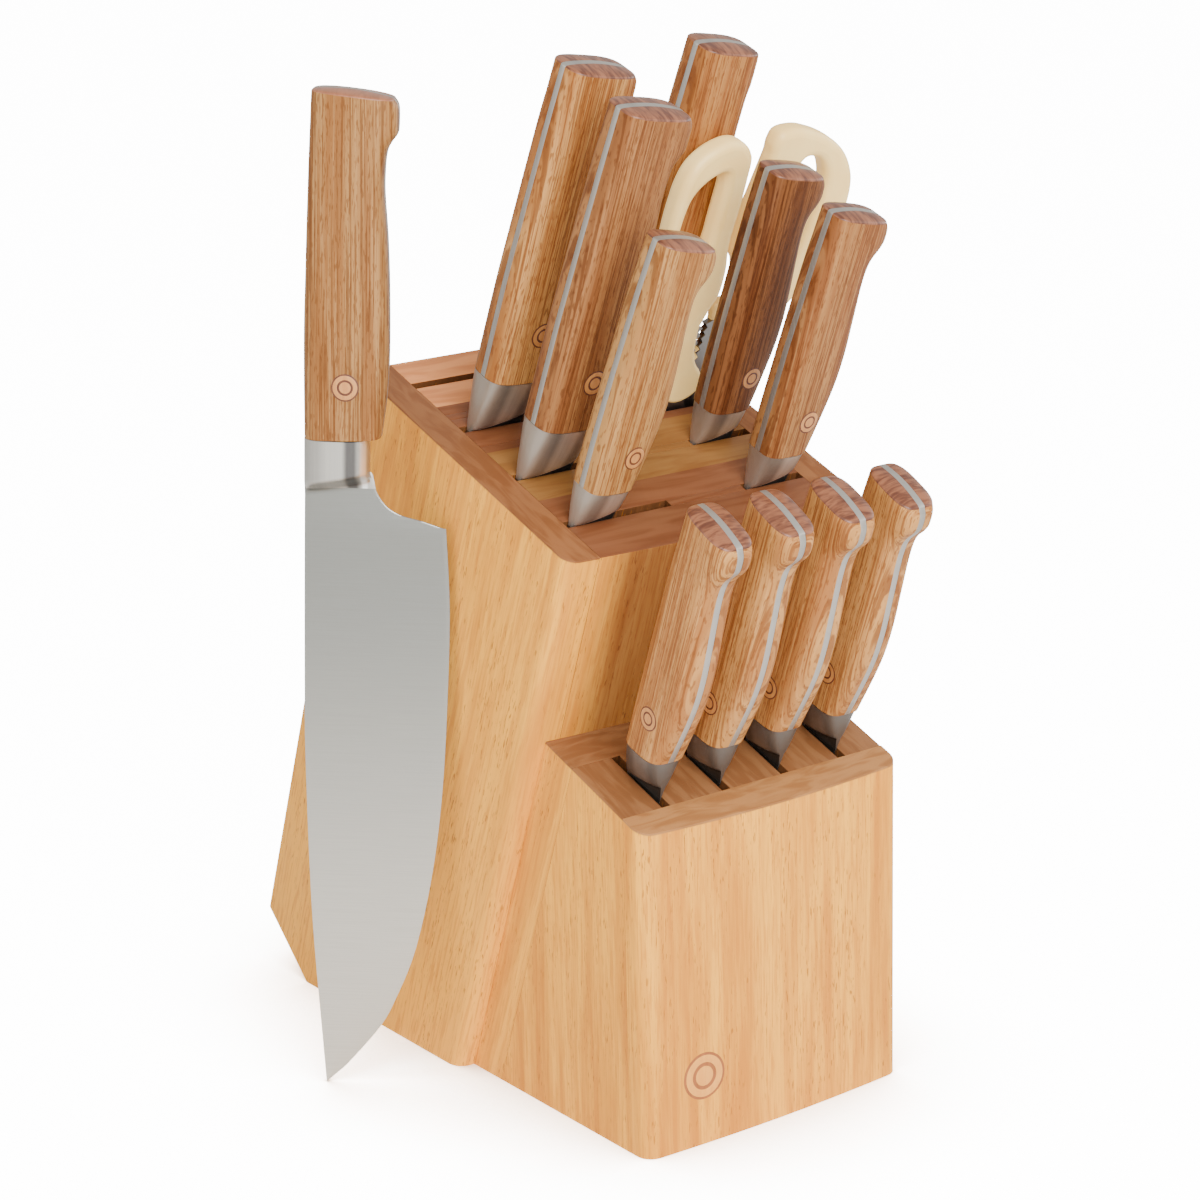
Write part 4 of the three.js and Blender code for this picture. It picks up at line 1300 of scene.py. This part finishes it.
def make_world():
    """A pale room with two dim patches and two soft windows; the camera sees a white backdrop."""
    world = bpy.data.worlds.new("studio")
    bpy.context.scene.world = world
    world.use_nodes = True
    tree = world.node_tree
    back = tree.nodes["Background"]
    back.inputs["Color"].default_value = (1, 0.985, 0.96, 1)
    direction = tree.nodes.new("ShaderNodeTexCoord").outputs["Generated"]
    total = None
    for toward, inner, outer, gain in WINDOWS:
        dot = tree.nodes.new("ShaderNodeVectorMath")
        dot.operation = "DOT_PRODUCT"
        tree.links.new(direction, dot.inputs[0])
        dot.inputs[1].default_value = Vector(toward).normalized()
        patch = tree.nodes.new("ShaderNodeMapRange")
        patch.interpolation_type = "SMOOTHSTEP"
        patch.inputs["From Min"].default_value = math.cos(math.radians(outer))
        patch.inputs["From Max"].default_value = math.cos(math.radians(inner))
        patch.inputs["To Max"].default_value = gain
        tree.links.new(dot.outputs["Value"], patch.inputs["Value"])
        add = tree.nodes.new("ShaderNodeMath")
        add.inputs[1].default_value = ROOM_STRENGTH
        tree.links.new(patch.outputs["Result"], add.inputs[0])
        if total is not None:
            tree.links.new(total, add.inputs[1])
        total = add.outputs["Value"]
    path = tree.nodes.new("ShaderNodeLightPath")
    pick = tree.nodes.new("ShaderNodeMapRange")
    pick.inputs["To Max"].default_value = BACKDROP_STRENGTH
    tree.links.new(total, pick.inputs["To Min"])
    tree.links.new(path.outputs["Is Camera Ray"], pick.inputs["Value"])
    tree.links.new(pick.outputs["Result"], back.inputs["Strength"])


LIGHTS = (
    # name, place, size, watts
    ("key", (-0.65, -1.85, 1.15), 1.6, 96),
    ("fill", (1.8, -1.2, 1.2), 1.5, 14),
)
LIGHT_TARGET = Vector((0, 0, 0.15))


def area_light(name, location, size, power):
    light = bpy.data.lights.new(name, "AREA")
    light.shape = "RECTANGLE"
    light.size = light.size_y = size
    light.energy = power
    obj = bpy.data.objects.new(name, light)
    bpy.context.scene.collection.objects.link(obj)
    obj.location = location
    obj.rotation_euler = (LIGHT_TARGET - Vector(location)).to_track_quat("-Z", "Y").to_euler()


CAMERA_AZIMUTH = -0.6369
CAMERA_ELEVATION = 0.2836
CAMERA_ROLL = -0.0252
CAMERA_PLACE = Vector((-0.60375, -0.81602, 0.45185))
CAMERA_LENS = 94.574


def make_camera():
    az, el = CAMERA_AZIMUTH, CAMERA_ELEVATION
    back = Vector((math.sin(az) * math.cos(el), -math.cos(az) * math.cos(el), math.sin(el)))
    right = (-back).cross(Vector((0, 0, 1))).normalized()
    up = right.cross(-back)
    r = right * math.cos(CAMERA_ROLL) + up * math.sin(CAMERA_ROLL)
    u = up * math.cos(CAMERA_ROLL) - right * math.sin(CAMERA_ROLL)
    data = bpy.data.cameras.new("camera")
    data.lens = CAMERA_LENS
    data.sensor_width = 36.0
    data.clip_start = 0.05
    data.clip_end = 100.0
    camera = bpy.data.objects.new("camera", data)
    bpy.context.scene.collection.objects.link(camera)
    rows = [[r[i], u[i], back[i], CAMERA_PLACE[i]] for i in range(3)]
    camera.matrix_world = Matrix(rows + [[0, 0, 0, 1]])
    bpy.context.scene.camera = camera


def make_block():
    top_cut = ((0, 0, 1), 0.0, TOP_WOOD, RINGS_ACROSS)
    low_cut = (tuple(T_DIR), TOP_CORNER.dot(T_DIR) + LOW_TOP_T)
    back_cut = ((0, 0, 1), LOW_TOP_T, SLAT_TOP, RINGS_ALONG)
    panel = panel_wood("side_panel_wood", 1.0, top_cut, painted_light=PANEL_PAINTED_LIGHT)
    face = panel_wood("core_face_wood", 1.0, shade=FACE_PAINTED_SHADE)
    rear = panel_wood("core_rear_wood", 21.0)
    front = panel_wood("front_panel_wood", 6.0, (*low_cut, STRIP_TOP, RINGS_ALONG))
    back = panel_wood("back_board_wood", 9.0, back_cut)
    slats = panel_wood("slat_wood", 13.0, (*low_cut, SLAT_TOP, RINGS_ACROSS))
    # Slot walls and hidden faces in dark wood: painted shade.
    inside = panel_wood("slot_shade_wood", 17.0, tones=SLOT_SHADE_TONES)
    core = core_wood("core_board_wood", BANDS, 2.0)
    make_panels(panel, inside)
    make_core(core, inside, face, rear)
    make_lower_front(front, inside)
    make_back_board(back, inside)
    make_slats(slats, inside)
    make_front_mark()


def main():
    make_block()
    make_knives()
    make_shears()
    make_floor()
    make_world()
    for light in LIGHTS:
        area_light(*light)
    make_camera()


main()
